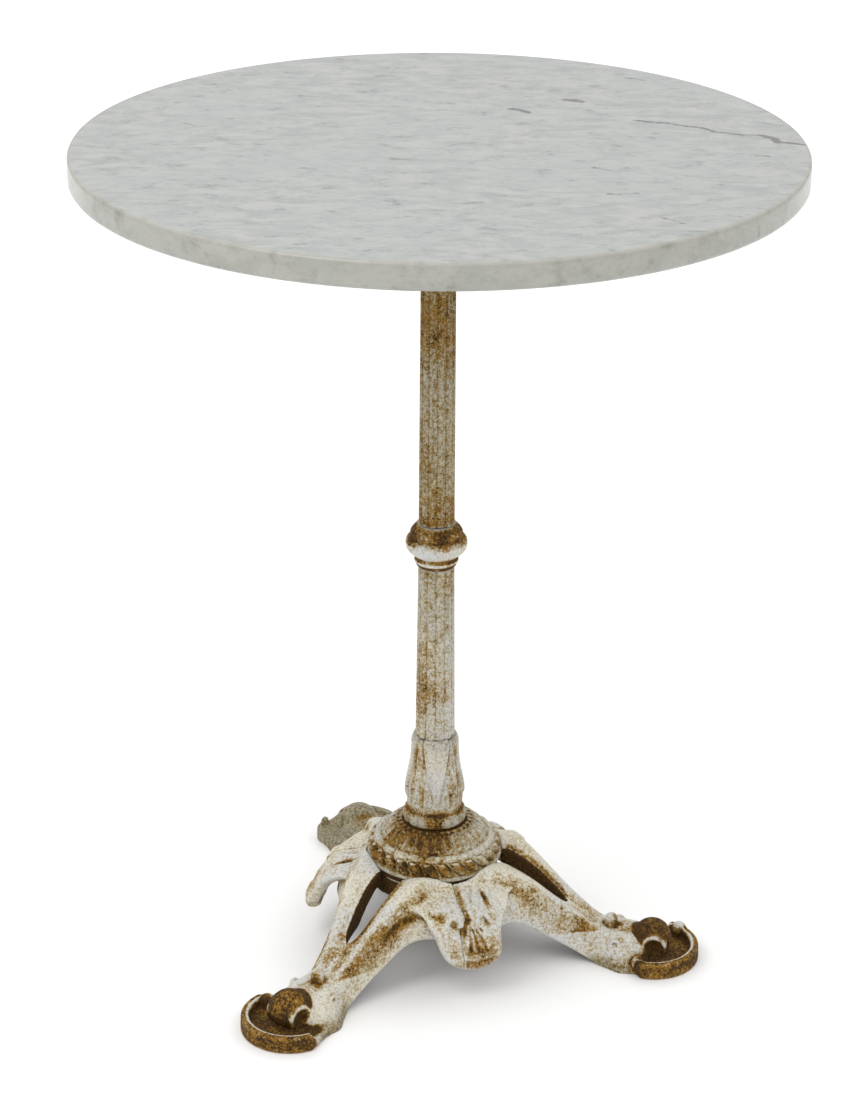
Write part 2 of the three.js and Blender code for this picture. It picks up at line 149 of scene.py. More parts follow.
def surface_net(field, corner, step):
    """Quads on the zero level of a distance field on a grid: negative is inside."""
    inside = field < 0
    shape = np.array(field.shape) - 1
    count = np.zeros(shape, np.int8)
    corners = [(i, j, k) for i in (0, 1) for j in (0, 1) for k in (0, 1)]
    for i, j, k in corners:
        count += inside[i:i + shape[0], j:j + shape[1], k:k + shape[2]]
    cells = np.argwhere((count > 0) & (count < 8))
    number = np.full(shape, -1, np.int64)
    number[tuple(cells.T)] = np.arange(len(cells))
    total = np.zeros((len(cells), 3))
    hits = np.zeros(len(cells))
    for start in corners:
        for axis in range(3):
            if start[axis]:
                continue
            a = cells + start
            b = a.copy()
            b[:, axis] += 1
            fa, fb = field[tuple(a.T)], field[tuple(b.T)]
            cross = (fa < 0) != (fb < 0)
            point = a[cross].astype(float)
            point[:, axis] += fa[cross] / (fa[cross] - fb[cross])
            total[cross] += point
            hits[cross] += 1
    verts = total / hits[:, None] * step + corner
    quads = []
    for axis in range(3):
        u, v = (axis + 1) % 3, (axis + 2) % 3
        low = [slice(1, -1)] * 3
        high = [slice(1, -1)] * 3
        low[axis], high[axis] = slice(0, -1), slice(1, None)
        a, b = inside[tuple(low)], inside[tuple(high)]
        for first, flip in ((a & ~b, False), (b & ~a, True)):
            at = np.argwhere(first) + 1
            at[:, axis] -= 1
            around = []
            for du, dv in ((1, 1), (0, 1), (0, 0), (1, 0)):
                cell = at.copy()
                cell[:, u] -= du
                cell[:, v] -= dv
                around.append(number[tuple(cell.T)])
            quad = np.stack(around, 1)
            quads.append(quad[:, ::-1] if flip else quad)
    return verts, np.concatenate(quads)


def grid(low, high, step):
    """Coordinate arrays that broadcast against each other, and the grid's corner."""
    x, y, z = (np.arange(a, b + step, step, dtype=np.float32) for a, b in zip(low, high))
    return x[:, None, None], y[None, :, None], z[None, None, :], np.array(low, float)


def neighbour_mean(values, edges, count):
    """For each of count vertices, the mean of its neighbours' values along the edges."""
    total = np.zeros_like(values)
    for column in range(values.shape[1]):
        total[:, column] = (
            np.bincount(edges[:, 0], values[edges[:, 1], column], count)
            + np.bincount(edges[:, 1], values[edges[:, 0], column], count)
        )
    ties = np.bincount(edges.ravel(), minlength=count)[:, None]
    return total / np.maximum(ties, 1)


def hollowness(verts, quads, normals, rounds):
    """How far each vertex lies below its smoothed surroundings, in mm: recesses are positive."""
    edges = np.concatenate([quads[:, [i, (i + 1) % 4]] for i in range(4)])
    edges = edges[edges[:, 0] != edges[:, 1]]
    edges = np.unique(np.sort(edges, 1), axis=0)
    smooth = verts.copy()
    for _ in range(rounds):
        smooth = neighbour_mean(smooth, edges, len(verts))
    return ((smooth - verts) * normals).sum(1)


def set_attribute(mesh, label, values):
    """Give every vertex a value that the materials can read."""
    layer = mesh.attributes.new(label, "FLOAT", "POINT")
    spread = np.broadcast_to(values, len(mesh.vertices)).astype(np.float32)
    layer.data.foreach_set("value", spread)


def add_object(name, data):
    obj = bpy.data.objects.new(name, data)
    bpy.context.scene.collection.objects.link(obj)
    return obj


def make_piece(name, verts, quads, rust=0.0, rounds=10, dirt=0.0):
    """A smooth-shaded object from vertices in mm and quads. rust and dirt have a value per vertex."""
    mesh = bpy.data.meshes.new(name)
    mesh.vertices.add(len(verts))
    mesh.vertices.foreach_set("co", (verts * MM).astype(np.float32).ravel())
    mesh.loops.add(quads.size)
    mesh.loops.foreach_set("vertex_index", quads.astype(np.int32).ravel())
    mesh.polygons.add(len(quads))
    mesh.polygons.foreach_set("loop_start", np.arange(0, quads.size, 4, dtype=np.int32))
    mesh.polygons.foreach_set("loop_total", np.full(len(quads), 4, np.int32))
    mesh.polygons.foreach_set("use_smooth", np.ones(len(quads), bool))
    mesh.update(calc_edges=True)
    mesh.validate()
    normals = np.zeros(len(verts) * 3, np.float32)
    mesh.vertices.foreach_get("normal", normals)
    normals = normals.reshape(-1, 3)
    hollow = hollowness(verts, quads, normals, rounds)
    set_attribute(mesh, "hollow", np.clip(hollow, -2, 2))
    set_attribute(mesh, "rust", rust)
    set_attribute(mesh, "dirt", dirt)
    return add_object(name, mesh)


def finish_piece(obj, material, node):
    """Give a piece its material, parent it to the root body and hide the CAD node that it replaces."""
    obj.data.materials.append(material)
    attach(obj, "root")
    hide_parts(node)


# ---------------- legs
#
# RIDGE, TOP_HALF, FOOT_HALF, VALLEY, SLOT_HALF and SLOT_LIP_FOOT give a size by the distance from
# the axis, HUB_RADIUS, LUG_MIDDLE, LUG_HALF, BEHIND_LUG and SEAM give one by the height, ARCH by
# the distance from the plane between two legs, and DISH_REACH by degrees round the foot.
# LUG_SPINE runs through (distance from the axis, height), and FLANK_GROOVE through (x, y, z).

RIDGE = [(0, 95), (60, 95), (71, 92), (80, 87.5), (90, 80.5), (100, 72), (110, 63), (120, 54.5),
         (130, 46.5), (140, 38.5), (147, 33), (153, 29.5), (176, 27), (200, 27)]
TOP_HALF = [(0, 40), (70, 38), (84, 34), (96, 29), (107, 26), (119, 22), (135, 18.5), (150, 17),
            (163, 19), (174, 19), (184, 16), (192, 11)]
FOOT_HALF = [(0, 56), (60, 50), (75, 45), (86, 40), (96, 37), (107, 33), (119, 29), (135, 25.5),
             (146, 24), (153, 26), (162, 31), (171, 37), (180, 36), (190, 34), (200, 33)]
VALLEY = [(0, 10), (75, 9), (100, 8), (117, 6), (135, 2.5), (146, 0), (200, 0)]
SLOT_HALF = [(46, -4), (50, 11), (62, 12), (80, 11.5), (100, 8.5), (111, 6), (117, 3.5), (121, -1),
             (130, -8)]
SLOT_LIP_FOOT = [(50, 76), (66, 73), (80, 60), (93, 48), (108, 43), (122, 39), (130, 38)]
SLOT_LIP_THICKNESS = 5.5
SLOT_LIP_ENDS = (58, 124)
HUB_RADIUS = [(0, 84), (40, 86), (50, 87), (62, 85), (70, 81), (77, 74), (81, 69), (86, 64.5),
              (91, 58)]
HUB_TOP = 97                   # no part of a leg is higher
HUB_RISE = 5.5                 # of the hub beside the lugs, above the seat of the dome
ARCH = [(0, 47), (32, 47.5), (42, 48), (52, 44.5), (61, 39), (80, 26), (100, 13), (116, 2),
        (128, -8)]
COLLAR = (54, 2.6, 65, 83)     # mean radius, half thickness, foot and head of the ring under the dome
LUG_SPINE = [(60, 77), (70, 76), (82, 73), (91, 68.5), (99, 60), (106, 50), (109, 42), (108, 35)]
LUG_THICKNESS = 6.5
LUG_DROP = {"leg_2": (0, 6), "leg_3": (6, 0)}       # the lug between these two hangs lower
LUG_MIDDLE = [(28, -3), (36, -4.5), (50, -6), (62, -6.5), (76, -4), (84, 0)]
LUG_HALF = [(28, -8), (30, 6), (32, 14), (35, 20), (39, 24), (45, 27.5), (52, 28.5), (60, 30.5),
            (68, 36), (76, 46), (84, 60)]
BEHIND_LUG = [(0, 92), (44, 91), (58, 86), (68, 78), (76, 60)]      # the hollow's radius by height
BEHIND_LUG_DEPTH = 15          # of that hollow, from the plane between two legs
HOLLOW_TOP = 77
HOLLOW_END = 163               # distance along the leg where it turns solid
SEAM = [(20, -16), (50, -16), (59, -14.5), (66, -12.5), (71, -7), (78, -7.5), (82, -6.3),
        (90, -6.3)]
SEAM_GAP = 0.2                 # each leg's share
PIN_HOLE = (17, 79)            # a small cast hole beside the seam
FLANK_GROOVE = [(99, 23, 57), (91, 29, 63), (81, 36, 67), (74, 50, 70), (69, 62, 72)]
AXIS_HOLE = 12                 # radius of the hole for the tie rod
SCREW_REACH = 27               # from the axis to the screw that holds the dome
SCREW_HOLE = 4.5
RIM_ENDS = (-100, 70)          # degrees round the foot from its toe
RIM_REACH = 38.8
RIM_MIDDLE = 7.4
RIM_CORE = (1.2, 5.2)          # half thickness and half height of the rim inside its rounding
RIM_ROUND = 2.4
DISH_FLOOR = 6.8
DISH_REACH = [(-180, 35.5), (-110, 36), (-96, 40), (-84, 41.5), (62, 41.5), (74, 40), (90, 35.5),
              (180, 35.5)]
CURL = (188.5, -32.5, 10.5, 6.6)        # x, y, z and radius of the curl where the rim ends
FAR_BUMP = (218.5, 29.5, 13.5, 6.2)     # the same for the bump at its other end
NO_FAR_BUMP = "leg_3"
OLD_FOOT = "leg_2"             # this leg's foot is chipped and clogged with old paint
OLD_PAINT = 5.0
CHIP_TURN = math.radians(35)
CHIP_REACH = 35
BALL = (197, 0, 19.7)
BALL_RADIUS = 17.2
SCROLL = (199.5, 17)           # x and z of the scroll on either side of the ball
SCROLL_RADIUS = 9
SCROLL_SIDE = 12.5             # its distance from the middle of the foot
SCROLL_LIP = 2.4               # radius of the wire that it is made of
SCROLL_DENT = (21, 17.5, 8.6)  # y, z and radius of the hollow inside it
BEAD = (160, 32.5)             # x and z of the bead on the ankle
BEAD_RADIUS = 5.6
BEAD_HALF = 2.2                # of the straight part between its round ends
TAIL = (176, 25.5)             # x and z of the ridge behind the ball
TAIL_RADIUS = 4.6
TAIL_HALF = 8
EYE = (165.5, 21)              # x and z of the ring on either side of the ankle
EYE_RADIUS = 4.0
EYE_SIDE = 22.5
EYE_LIP = 1.5


def arc_line(t, z, centre, radius, width):
    """1 along the upper half of a ring."""
    ring = np.hypot(t - centre[0], z - centre[1]) - radius
    return bell(ring, width) * soft_step(z, centre[1] - 3, centre[1] + 1)


def lug_relief(t, z, r):
    """Height of the ornament on a lug, over the width t and height z of its face."""
    seam = line(z, SEAM)
    rib_line = 15 - (r - 60) * 0.4
    rib = 2.0 * bell(t - rib_line, 2.6) * soft_step(r, 56, 62) * soft_step(r, 92, 86)
    beside_seam = 1.6 * bell(t - seam - 4.6, 2.4) * soft_step(z, 66, 72)
    groove = -2.2 * bell(t - seam - 1, 3.0) * soft_step(z, 56, 62)
    hole = -2.5 * bell(np.hypot(t - PIN_HOLE[0], z - PIN_HOLE[1]), 2.4)
    volutes = 2.4 * arc_line(t, z, (-19, 68), 6.5, 2.0) + 2.2 * arc_line(t, z, (7.5, 69), 5.5, 1.9)
    eyes = -1.8 * bell(np.hypot(t + 18, z - 67), 3)
    eyes = eyes - 2.0 * bell(np.hypot(t - 10.5, z - 67.5), 2.4)
    inside = soft_step(t, -16, -13) * soft_step(t, 8, 4) * soft_step(z, 45, 49) * soft_step(z, 67, 63)
    fan = np.cos(np.arctan2(t + 5, 74 - z) * 22) * 0.7 - 1.5
    lip = 1.2 * bell(z - 43.5, 2.0) * soft_step(t, -18, -14) * soft_step(t, 12, 6)
    side_groove = -1.5 * bell(t + 15, 1.7) * band(z, 48, 64, 3)
    return rib + beside_seam + groove + hole + volutes + eyes + inside * fan + lip + side_groove


def foot_field(x, y, z, far_bump, fill):
    """The dish of a foot with its rim, and the curl and the bump where the rim ends."""
    fx = x - FOOT_REACH
    reach = np.hypot(fx, y)
    angle = np.degrees(np.arctan2(y, fx))
    dish = smooth_max(reach - line(angle, DISH_REACH, 4), z - DISH_FLOOR - fill, 2)
    rim = np.hypot(np.maximum(abs(reach - RIM_REACH) - RIM_CORE[0], 0),
                   np.maximum(abs(z - RIM_MIDDLE) - RIM_CORE[1], 0)) - RIM_ROUND
    past_end = np.maximum(RIM_ENDS[0] - angle, angle - RIM_ENDS[1]) * math.radians(RIM_REACH)
    rim = smooth_max(rim, past_end, 3)
    foot = smooth_min(dish, rim, 2.5)
    for end in [CURL] + [FAR_BUMP] * far_bump:
        foot = smooth_min(foot, away_from(x, y, z, end) - end[3], 2.5)
    if fill:
        chipped = fx * math.cos(CHIP_TURN) + y * math.sin(CHIP_TURN) - CHIP_REACH
        foot = smooth_max(foot, chipped, 5)
    return foot


def ball_field(x, y, z):
    """The ball on the toe, with a scroll on either side."""
    side = abs(y)
    ball = away_from(x, y, z, BALL) - BALL_RADIUS
    ring = np.hypot(x - SCROLL[0], z - SCROLL[1])
    lip = np.hypot(ring - SCROLL_RADIUS, side - SCROLL_SIDE) - SCROLL_LIP
    ball = smooth_min(ball, lip, 3)
    dent_y, dent_z, dent_radius = SCROLL_DENT
    dent = away_from(x, side, z, (SCROLL[0], dent_y, dent_z)) - dent_radius
    return smooth_max(ball, -dent, 2.5)


def ankle_field(x, y, z):
    """The bead on the ankle, the ridge behind the ball and a ring on either side."""
    bead_end = np.maximum(abs(z - BEAD[1]) - BEAD_HALF, 0)
    bead = np.sqrt((x - BEAD[0]) ** 2 + y ** 2 + bead_end ** 2) - BEAD_RADIUS
    tail_end = np.maximum(abs(x - TAIL[0]) - TAIL_HALF, 0)
    tail = np.sqrt(tail_end ** 2 + y ** 2 * 0.35 + (z - TAIL[1]) ** 2) - TAIL_RADIUS
    ring = np.hypot(x - EYE[0], z - EYE[1]) - EYE_RADIUS
    eye = np.hypot(ring, abs(y) - EYE_SIDE) - EYE_LIP
    return smooth_min(smooth_min(bead, tail, 2.5), eye, 1.5)


def around_axis(x, y):
    """Distance from the axis, and arc length from the plane between this leg and the next."""
    r = np.hypot(x, y)
    return r, (np.arctan2(y, x) - np.sign(y) * math.pi / 3) * r


def from_mid_plane(x, side):
    """Distance from the plane between two legs, counted into this leg."""
    return x * math.sqrt(0.75) - side * 0.5


def leg_section(x, side, z):
    """Height of a leg's back, its half width at height z and the depth of the valley along it."""
    top = line(x, RIDGE, 5)
    narrow = line(x, TOP_HALF, 5)
    wide = line(x, FOOT_HALF, 4)
    half = narrow + (wide - narrow) * np.clip((top - z) / np.maximum(top, 20), 0, 1)
    dip = line(x, VALLEY, 4) * (1 - soft_step(side / narrow, 0.1, 0.78))
    return top, half, dip


def leg_body(x, y, z):
    """The outer surface of a leg and the hub, before the hollow, the slot and the arches."""
    side = abs(y)
    r, t = around_axis(x, y)
    top, half, dip = leg_section(x, side, z)
    slope = np.gradient(top.ravel(), x.ravel()[1] - x.ravel()[0]).reshape(top.shape)
    skin = z - top + dip
    beam = smooth_max((side - half) * 0.96, skin / np.sqrt(1 + slope ** 2), 8)
    beam = smooth_max(beam, x - FOOT_REACH, 8)
    crown = DOME_SEAT + HUB_RISE * soft_step(abs(t + 4), 44, 24)
    hub = smooth_max((r - line(z, HUB_RADIUS, 4)) * 0.9, z - crown, 3)
    return smooth_max(smooth_min(beam, hub, 15), z - HUB_TOP, 4), skin


def lug_field(x, y, z, drop):
    """The ornamented lug on either side of a leg, hanging from the hub."""
    r, t = around_axis(x, y)
    lug_z = z + np.where(y > 0, drop[1], drop[0]) * soft_step(r, 84, 112)
    lug = path_distance(r, lug_z, LUG_SPINE) - LUG_THICKNESS
    lug = lug - lug_relief(t, lug_z, r) * soft_step(r, 56, 62)
    past_side = abs(t - line(lug_z, LUG_MIDDLE, 3)) - line(lug_z, LUG_HALF, 3)
    return smooth_max(lug, past_side * 0.8, 6)


def slot_lip_field(x, side, z, slot, skin):
    """The thin walls that stand along both sides of the slot, below the leg's back."""
    half = SLOT_LIP_THICKNESS / 2
    lip = smooth_max(abs(side - slot - half) - half, skin + 1, 1.5)
    lip = smooth_max(lip, line(x, SLOT_LIP_FOOT, 2) - z, 2)
    return np.maximum(lip, np.maximum(SLOT_LIP_ENDS[0] - x, x - SLOT_LIP_ENDS[1]))


def leg_field(x, y, z, far_bump, drop, fill):
    """Distance field of one leg casting that points along +X.

    drop gives how far the lugs hang below the usual height, on the -y and the +y side. fill is
    the thickness of old paint in the dish of a foot.
    """
    side = abs(y)
    r, t = around_axis(x, y)
    across = from_mid_plane(x, side)
    body, skin = leg_body(x, y, z)
    hollow = smooth_max(body + WALL, x - HOLLOW_END, 6)
    behind_lug = np.maximum(r - line(z, BEHIND_LUG, 3), across - BEHIND_LUG_DEPTH)
    hollow = np.minimum(hollow, np.maximum(behind_lug, z - HOLLOW_TOP))
    shell = smooth_max(body, (line(across, ARCH, 4) - z) * 0.85, 3)
    shell = smooth_min(shell, lug_field(x, y, z, drop), 5)
    shell = shell + 2.0 * bell(path_distance_3d(x, y, z, FLANK_GROOVE), 4.5)
    shell = smooth_max(shell, -hollow, 1.5)
    mean, half, foot, head = COLLAR
    collar = np.maximum(abs(r - mean) - half, np.maximum(foot - z, z - head))
    shell = smooth_min(shell, collar, 1.5)
    slot = line(x, SLOT_HALF, 2)
    shell = smooth_min(shell, slot_lip_field(x, side, z, slot, skin), 1.5)
    in_slot = np.minimum(slot - side, r - mean - half) * 0.97
    shell = smooth_max(shell, in_slot, 2.2)
    shell = smooth_min(shell, ball_field(x, y, z), 3.5)
    shell = smooth_min(shell, foot_field(x, y, z, far_bump, fill), 3)
    shell = smooth_min(shell, ankle_field(x, y, z), 1.6)
    shell = np.maximum(shell, -np.maximum(r - DOME_RIM_RADIUS - DOME_CLEARANCE, DOME_SEAT - z))
    shell = np.maximum(shell, AXIS_HOLE - r)
    shell = np.maximum(shell, SCREW_HOLE - np.hypot(x - SCREW_REACH, y))
    shell = smooth_max(shell, -z, 1.2)
    seam = line(z, SEAM) * soft_step(r, 20, 50)
    own = (t - seam) * -np.sign(y)
    return smooth_max(shell, SEAM_GAP - own, 0.9)


def turn_about_z(verts, degrees):
    a = np.radians(degrees)
    x, y = verts[:, 0], verts[:, 1]
    return np.stack([x * np.cos(a) - y * np.sin(a), x * np.sin(a) + y * np.cos(a), verts[:, 2]], 1)


def foot_rust(x, y, z):
    """Rust of the dish, the ball and the curl, with a paler line round the rim and the scroll."""
    side = abs(y)
    fx = x - FOOT_REACH
    reach = np.hypot(fx, y)
    angle = np.degrees(np.arctan2(y, fx))
    dish = soft_step(reach, 46, 42) * soft_step(z, 20, 15) * band(angle, -100, 72, 9)
    floor = soft_step(reach, 35, 31) * soft_step(z, 12, 9) * soft_step(x - 0.25 * y, 178, 186)
    dish = np.maximum(dish, floor)
    curl = np.exp(-(away_from(x, y, z, CURL) / 8) ** 4)
    rim_line = bell(reach - 36.9, 1.0) * soft_step(z, 12, 14)
    ball = soft_step(away_from(x, y, z, (FOOT_REACH, 0, BALL[2])), 21, 18) * soft_step(z, 8, 14)
    behind_ball = ball * soft_step(fx, 0, -10) * soft_step(z, 18, 24)
    recess = bell(away_from(x, side, z, (SCROLL[0], 15, 16)), 6.5)
    scroll = bell(np.hypot(x - SCROLL[0], z - SCROLL[1]) - 10, 1.6)
    scroll = scroll * soft_step(side, 8, 11) * soft_step(fx, 11, 6)
    foot = dish * (1 - rim_line) + ball + 0.3 * behind_ball + 0.3 * recess + 0.9 * curl
    return foot - 0.95 * ball * scroll


def beam_rust(x, y, z):
    """Rust of the ankle, the back of the leg, the edges of the slot and the grooves."""
    side = abs(y)
    bead = bell(away_from(x, y, z, (BEAD[0] + 1, 0, 35)), 8)
    back = bell(side, 9) * band(x, 165, 184, 5) * soft_step(z, 20, 24)
    heel = soft_step(z, 16, 4) * band(x, 150, 190, 8) * 0.3
    trough = bell(side - 4, 7) * band(x, 112, 142, 12) * 0.3
    strip = soft_step(y, 4, 12) * soft_step(y, 40, 30) * band(x, 66, 118, 10)
    strip = strip * soft_step(z, 45, 60) * 0.1
    groove = bell(path_distance_3d(x, y, z, FLANK_GROOVE), 6) * 0.34
    slot_edge = soft_step(side - line(x, SLOT_HALF, 2), 8, 4) * band(x, 64, 118, 4) * (z > 40)
    slot_edge = slot_edge * np.where(y > 0, 0.5, 0.1)
    from_edge = abs(side - line(x, TOP_HALF))
    strip_edge = 0.44 * soft_step(from_edge, 6, 1) * band(x, 64, 150, 10) * (z > 30)
    patch = 0.3 * bell(np.hypot(x - 138, side - 12), 9) * (z > 30)
    return (0.9 * bead + 0.4 * back + heel + trough + strip + groove + slot_edge + strip_edge
            + patch)


def lug_rust(x, y, z):
    """Rust of the lugs: the seam, the small hole and the fan at the foot."""
    r, t = around_axis(x, y)
    face = soft_step(abs(t + 6), 34, 26) * soft_step(r, 84, 94) * 0.12
    seam = bell(t - line(z, SEAM) - 1, 3.2) * soft_step(r, 58, 64) * soft_step(z, 54, 60) * 0.6
    hole = 0.9 * bell(np.hypot(t - PIN_HOLE[0], z - PIN_HOLE[1]), 3) * (r > 64)
    ochre = 0.26 * soft_step(z, 60, 52) * soft_step(abs(t + 5), 32, 26) * (r > 92)
    fan = bell(np.hypot(t + 4, (z - 58) * 0.7), 9) * (r > 90) * 0.2
    return face + seam + hole + ochre + fan


def inner_depth(x, y, z):
    """Above 0 on the hollow side of a leg's wall, and below 0 outside."""
    side = abs(y)
    r = np.hypot(x, y)
    top, half, dip = leg_section(x, side, z)
    beam = np.maximum(side - half, (z - top + dip) * 0.75)
    hub = np.maximum(r - line(z, HUB_RADIUS, 4), z - DOME_SEAT)
    plate = path_distance(r, z, LUG_SPINE)
    back_of_lug = line(z, [(35, 106), (50, 103), (60, 96), (70, 84), (78, 60)])
    behind = (r < back_of_lug) & (z < 76) & (from_mid_plane(x, side) < 24)
    deep = -np.minimum(beam, hub) - 3.4
    deep = np.where(behind & (plate > 3) & (deep > -6), np.maximum(deep, 0.5), deep)
    return np.where((x < 166) & (r > 20), deep, -1)


def bare_inside(x, y, z):
    """1 on the iron that never had paint: the hollow, the walls of the slot and the collar."""
    side = abs(y)
    inside = soft_step(inner_depth(x, y, z), -0.6, 0.4)
    slot_wall = band(x, 60, 121, 2) * soft_step(side - line(x, SLOT_HALF, 2), 1.3, 0.6)
    mean, half, _, head = COLLAR
    collar = soft_step(abs(np.hypot(x, y) - mean), half + 0.6, half + 0.2) * (z < head - 1)
    return np.maximum(np.maximum(inside, slot_wall), collar)


def leg_rust(verts, foot_share):
    """Rust bias of a leg in its own frame: the foot, the slot and the lugs rust most."""
    x, y, z = verts.T
    return (-0.1 + foot_share * foot_rust(x, y, z) + beam_rust(x, y, z) + lug_rust(x, y, z)
            + 2 * bare_inside(x, y, z))


def leg_dirt(verts, old_foot):
    """Grime on a leg in its own frame: below the heel, along the arch and all over an old foot."""
    x, _, z = verts.T
    heel = soft_step(z, 15, 5) * band(x, 146, 196, 8) * 0.7
    above_arch = z - line(x, [(60, 40), (80, 26), (100, 13), (116, 4), (130, 0)])
    arch_edge = soft_step(above_arch, 9, 2) * 0.4 * (x > 70)
    return np.clip(heel + arch_edge + 1.1 * old_foot * soft_step(x, 130, 160), 0, 1.1)


def build_legs(material):
    """The three leg castings, each sculpted along +X and then turned to its own angle."""
    x, y, z, corner = grid(LEG_LOW, LEG_HIGH, LEG_STEP)
    for name, angle in LEG_ANGLES.items():
        old = name == OLD_FOOT
        drop = LUG_DROP.get(name, (0, 0))
        field = leg_field(x, y, z, name != NO_FAR_BUMP, drop, OLD_PAINT * old)
        verts, quads = surface_net(field, corner, LEG_STEP)
        placed = turn_about_z(verts, angle)
        rust = leg_rust(verts, 0.1 if old else 1.0) + 0.1 * waves(placed, 60, 5)
        obj = make_piece(name + "_casting", placed, quads, rust, 12, leg_dirt(verts, old))
        finish_piece(obj, material, name)


# ---------------- turned pieces

BORE_THINNING = 12             # rings inside a bore are this many times as far apart


def resample(profile, step):
    """Points a step apart along a closed or open polyline, with each one's outward normal."""
    points = np.array(profile, float)
    lengths = np.hypot(*np.diff(points, axis=0).T)
    total = lengths.sum()
    count = max(int(total / step), 8)
    where = np.linspace(0, total, count + 1)
    marks = np.concatenate([[0], np.cumsum(lengths)])
    at = np.stack([np.interp(where, marks, points[:, i]) for i in (0, 1)], 1)
    tangent = np.gradient(at, axis=0)
    tangent /= np.maximum(np.hypot(*tangent.T), 1e-9)[:, None]
    return at, np.stack([tangent[:, 1], -tangent[:, 0]], 1)


def rounded(profile, rounds=2):
    """Chaikin's corner cutting. A point that is given twice stays sharp."""
    points = np.array(profile, float)
    for _ in range(rounds):
        a, b = points[:-1], points[1:]
        cut = np.empty((2 * len(a), 2))
        cut[0::2] = 0.75 * a + 0.25 * b
        cut[1::2] = 0.25 * a + 0.75 * b
        points = np.concatenate([points[:1], cut, points[-1:]])
    return points


def shell_of(outside, bore):
    """A closed profile: the outside rounded off, then back down the bore."""
    path = [tuple(p) for p in rounded(outside)]
    return [(bore, path[0][1]), *path, (bore, path[-1][1]), (bore, path[0][1])]


def turned(name, profile, sides, step, relief, rust, rounds, bore_radius, dirt=None):
    """A closed profile of (radius, z) pairs turned about the axis.

    relief(angle, r, z) pushes the surface out in mm, and rust and dirt take the vertices. Inside
    bore_radius the rings are thinned out.
    """
    at, normal = resample(profile, step)
    inside = at[:, 0] < bore_radius
    wanted = ~inside | (np.arange(len(at)) % BORE_THINNING == 0)
    at, normal = at[wanted], normal[wanted]
    angle = np.linspace(0, 2 * math.pi, sides, endpoint=False)
    r, z = at[:, 0][:, None], at[:, 1][:, None]
    push = relief(angle[None, :], r, z) if relief else np.zeros((1, sides))
    radius = r + normal[:, 0][:, None] * push
    height = z + normal[:, 1][:, None] * push
    verts = np.stack([radius * np.cos(angle), radius * np.sin(angle), height + 0 * angle], 2)
    verts = verts[:-1]
    below = np.arange(verts.shape[0] * sides).reshape(-1, sides)
    above = np.roll(below, -1, axis=0)
    quads = np.stack([below, np.roll(below, -1, 1), np.roll(above, -1, 1), above], 2)
    flat = verts.reshape(-1, 3)
    return make_piece(name, flat, quads.reshape(-1, 4), rust(flat), rounds,
                      dirt(flat) if dirt else 0.0)


def bumps(phase, sharp=0.6):
    """1 on the crown of each repeat of the phase, 0 in the seams between them."""
    return np.abs(np.cos(math.pi * phase)) ** sharp


def patches(points, spots):
    """Sum of soft patches, each an (angle in degrees, z, size, strength)."""
    angle = np.degrees(np.arctan2(points[:, 1], points[:, 0]))
    radius = np.hypot(points[:, 0], points[:, 1])
    total = np.zeros(len(points))
    for where, height, size, strength in spots:
        turn = (angle - where + 180) % 360 - 180
        away = np.hypot(np.radians(turn) * radius, (points[:, 2] - height) * 0.8)
        total += strength * bell(away, size)
    return total


ROPE_LOBES = 27
ROPE_MIDDLE = 98.6
ROPE_HEIGHT = 9.6
ROPE_SLANT = 0.5               # of a lobe, over the rope's height
LUMPS = 21
TONGUES = 30
DOME_SIDES = 660
DOME_BORE = 7.2
DOME_OUTSIDE = [(56.4, 83.3), (57.2, 84.2), (57.2, 87.2), (58.2, 88.6), (59.2, 89.4), (59.5, 90.6),
                (58.8, 91.6), (57.2, 92.4), (56.4, 93.4), (57.2, 95.4), (57.4, 98), (56.8, 100.6),
                (55.4, 102.6), (53.8, 103.8), (52.8, 104.4), (52.8, 105.6), (52.2, 107.4), (50.6, 108.8),
                (48.8, 109.2), (47.6, 108.8), (46.8, 109.2), (45.4, 110.6), (42.8, 113.6), (40, 116.4),
                (37.2, 118.8), (34.4, 120.8), (32.4, 122), (30.4, 122.7)]
DOME_STAINS = [(-103, 98, 24, 0.35), (-62, 99, 20, 0.25), (-25, 101, 16, 0.1),
               (-92, 116, 16, 0.35), (-150, 112, 16, 0.45), (-120, 118, 12, 0.2),
               (-128, 103, 12, -0.15), (-45, 112, 16, -0.1)]


def rope_lobe(turns, z):
    """1 on the crown of each slanting lobe of the rope, 0 between two lobes."""
    return bumps(ROPE_LOBES * turns + ROPE_SLANT * (z - ROPE_MIDDLE) / ROPE_HEIGHT, 0.65)


def dome_relief(angle, r, z):
    """Height of the dome's ornament: the rope, a row of small lumps and the ring of tongues."""
    turns = angle / (2 * math.pi)
    rope = (rope_lobe(turns, z) - 0.66) * 6.4 * band(z, 95, 102.6, 1.8) * (r > 50)
    lumps = (bumps(LUMPS * turns + 0.3, 0.6) - 0.6) * 1.6
    lumps = lumps * band(z, 105.4, 109, 1) * band(r, 49, 54, 1)
    tongues = (bumps(TONGUES * turns, 0.7) - 0.55) * 3.2
    tongues = tongues * soft_step(r, 46.8, 44.4) * soft_step(r, 31.8, 34.5) * (z > 106)
    return rope + lumps + tongues


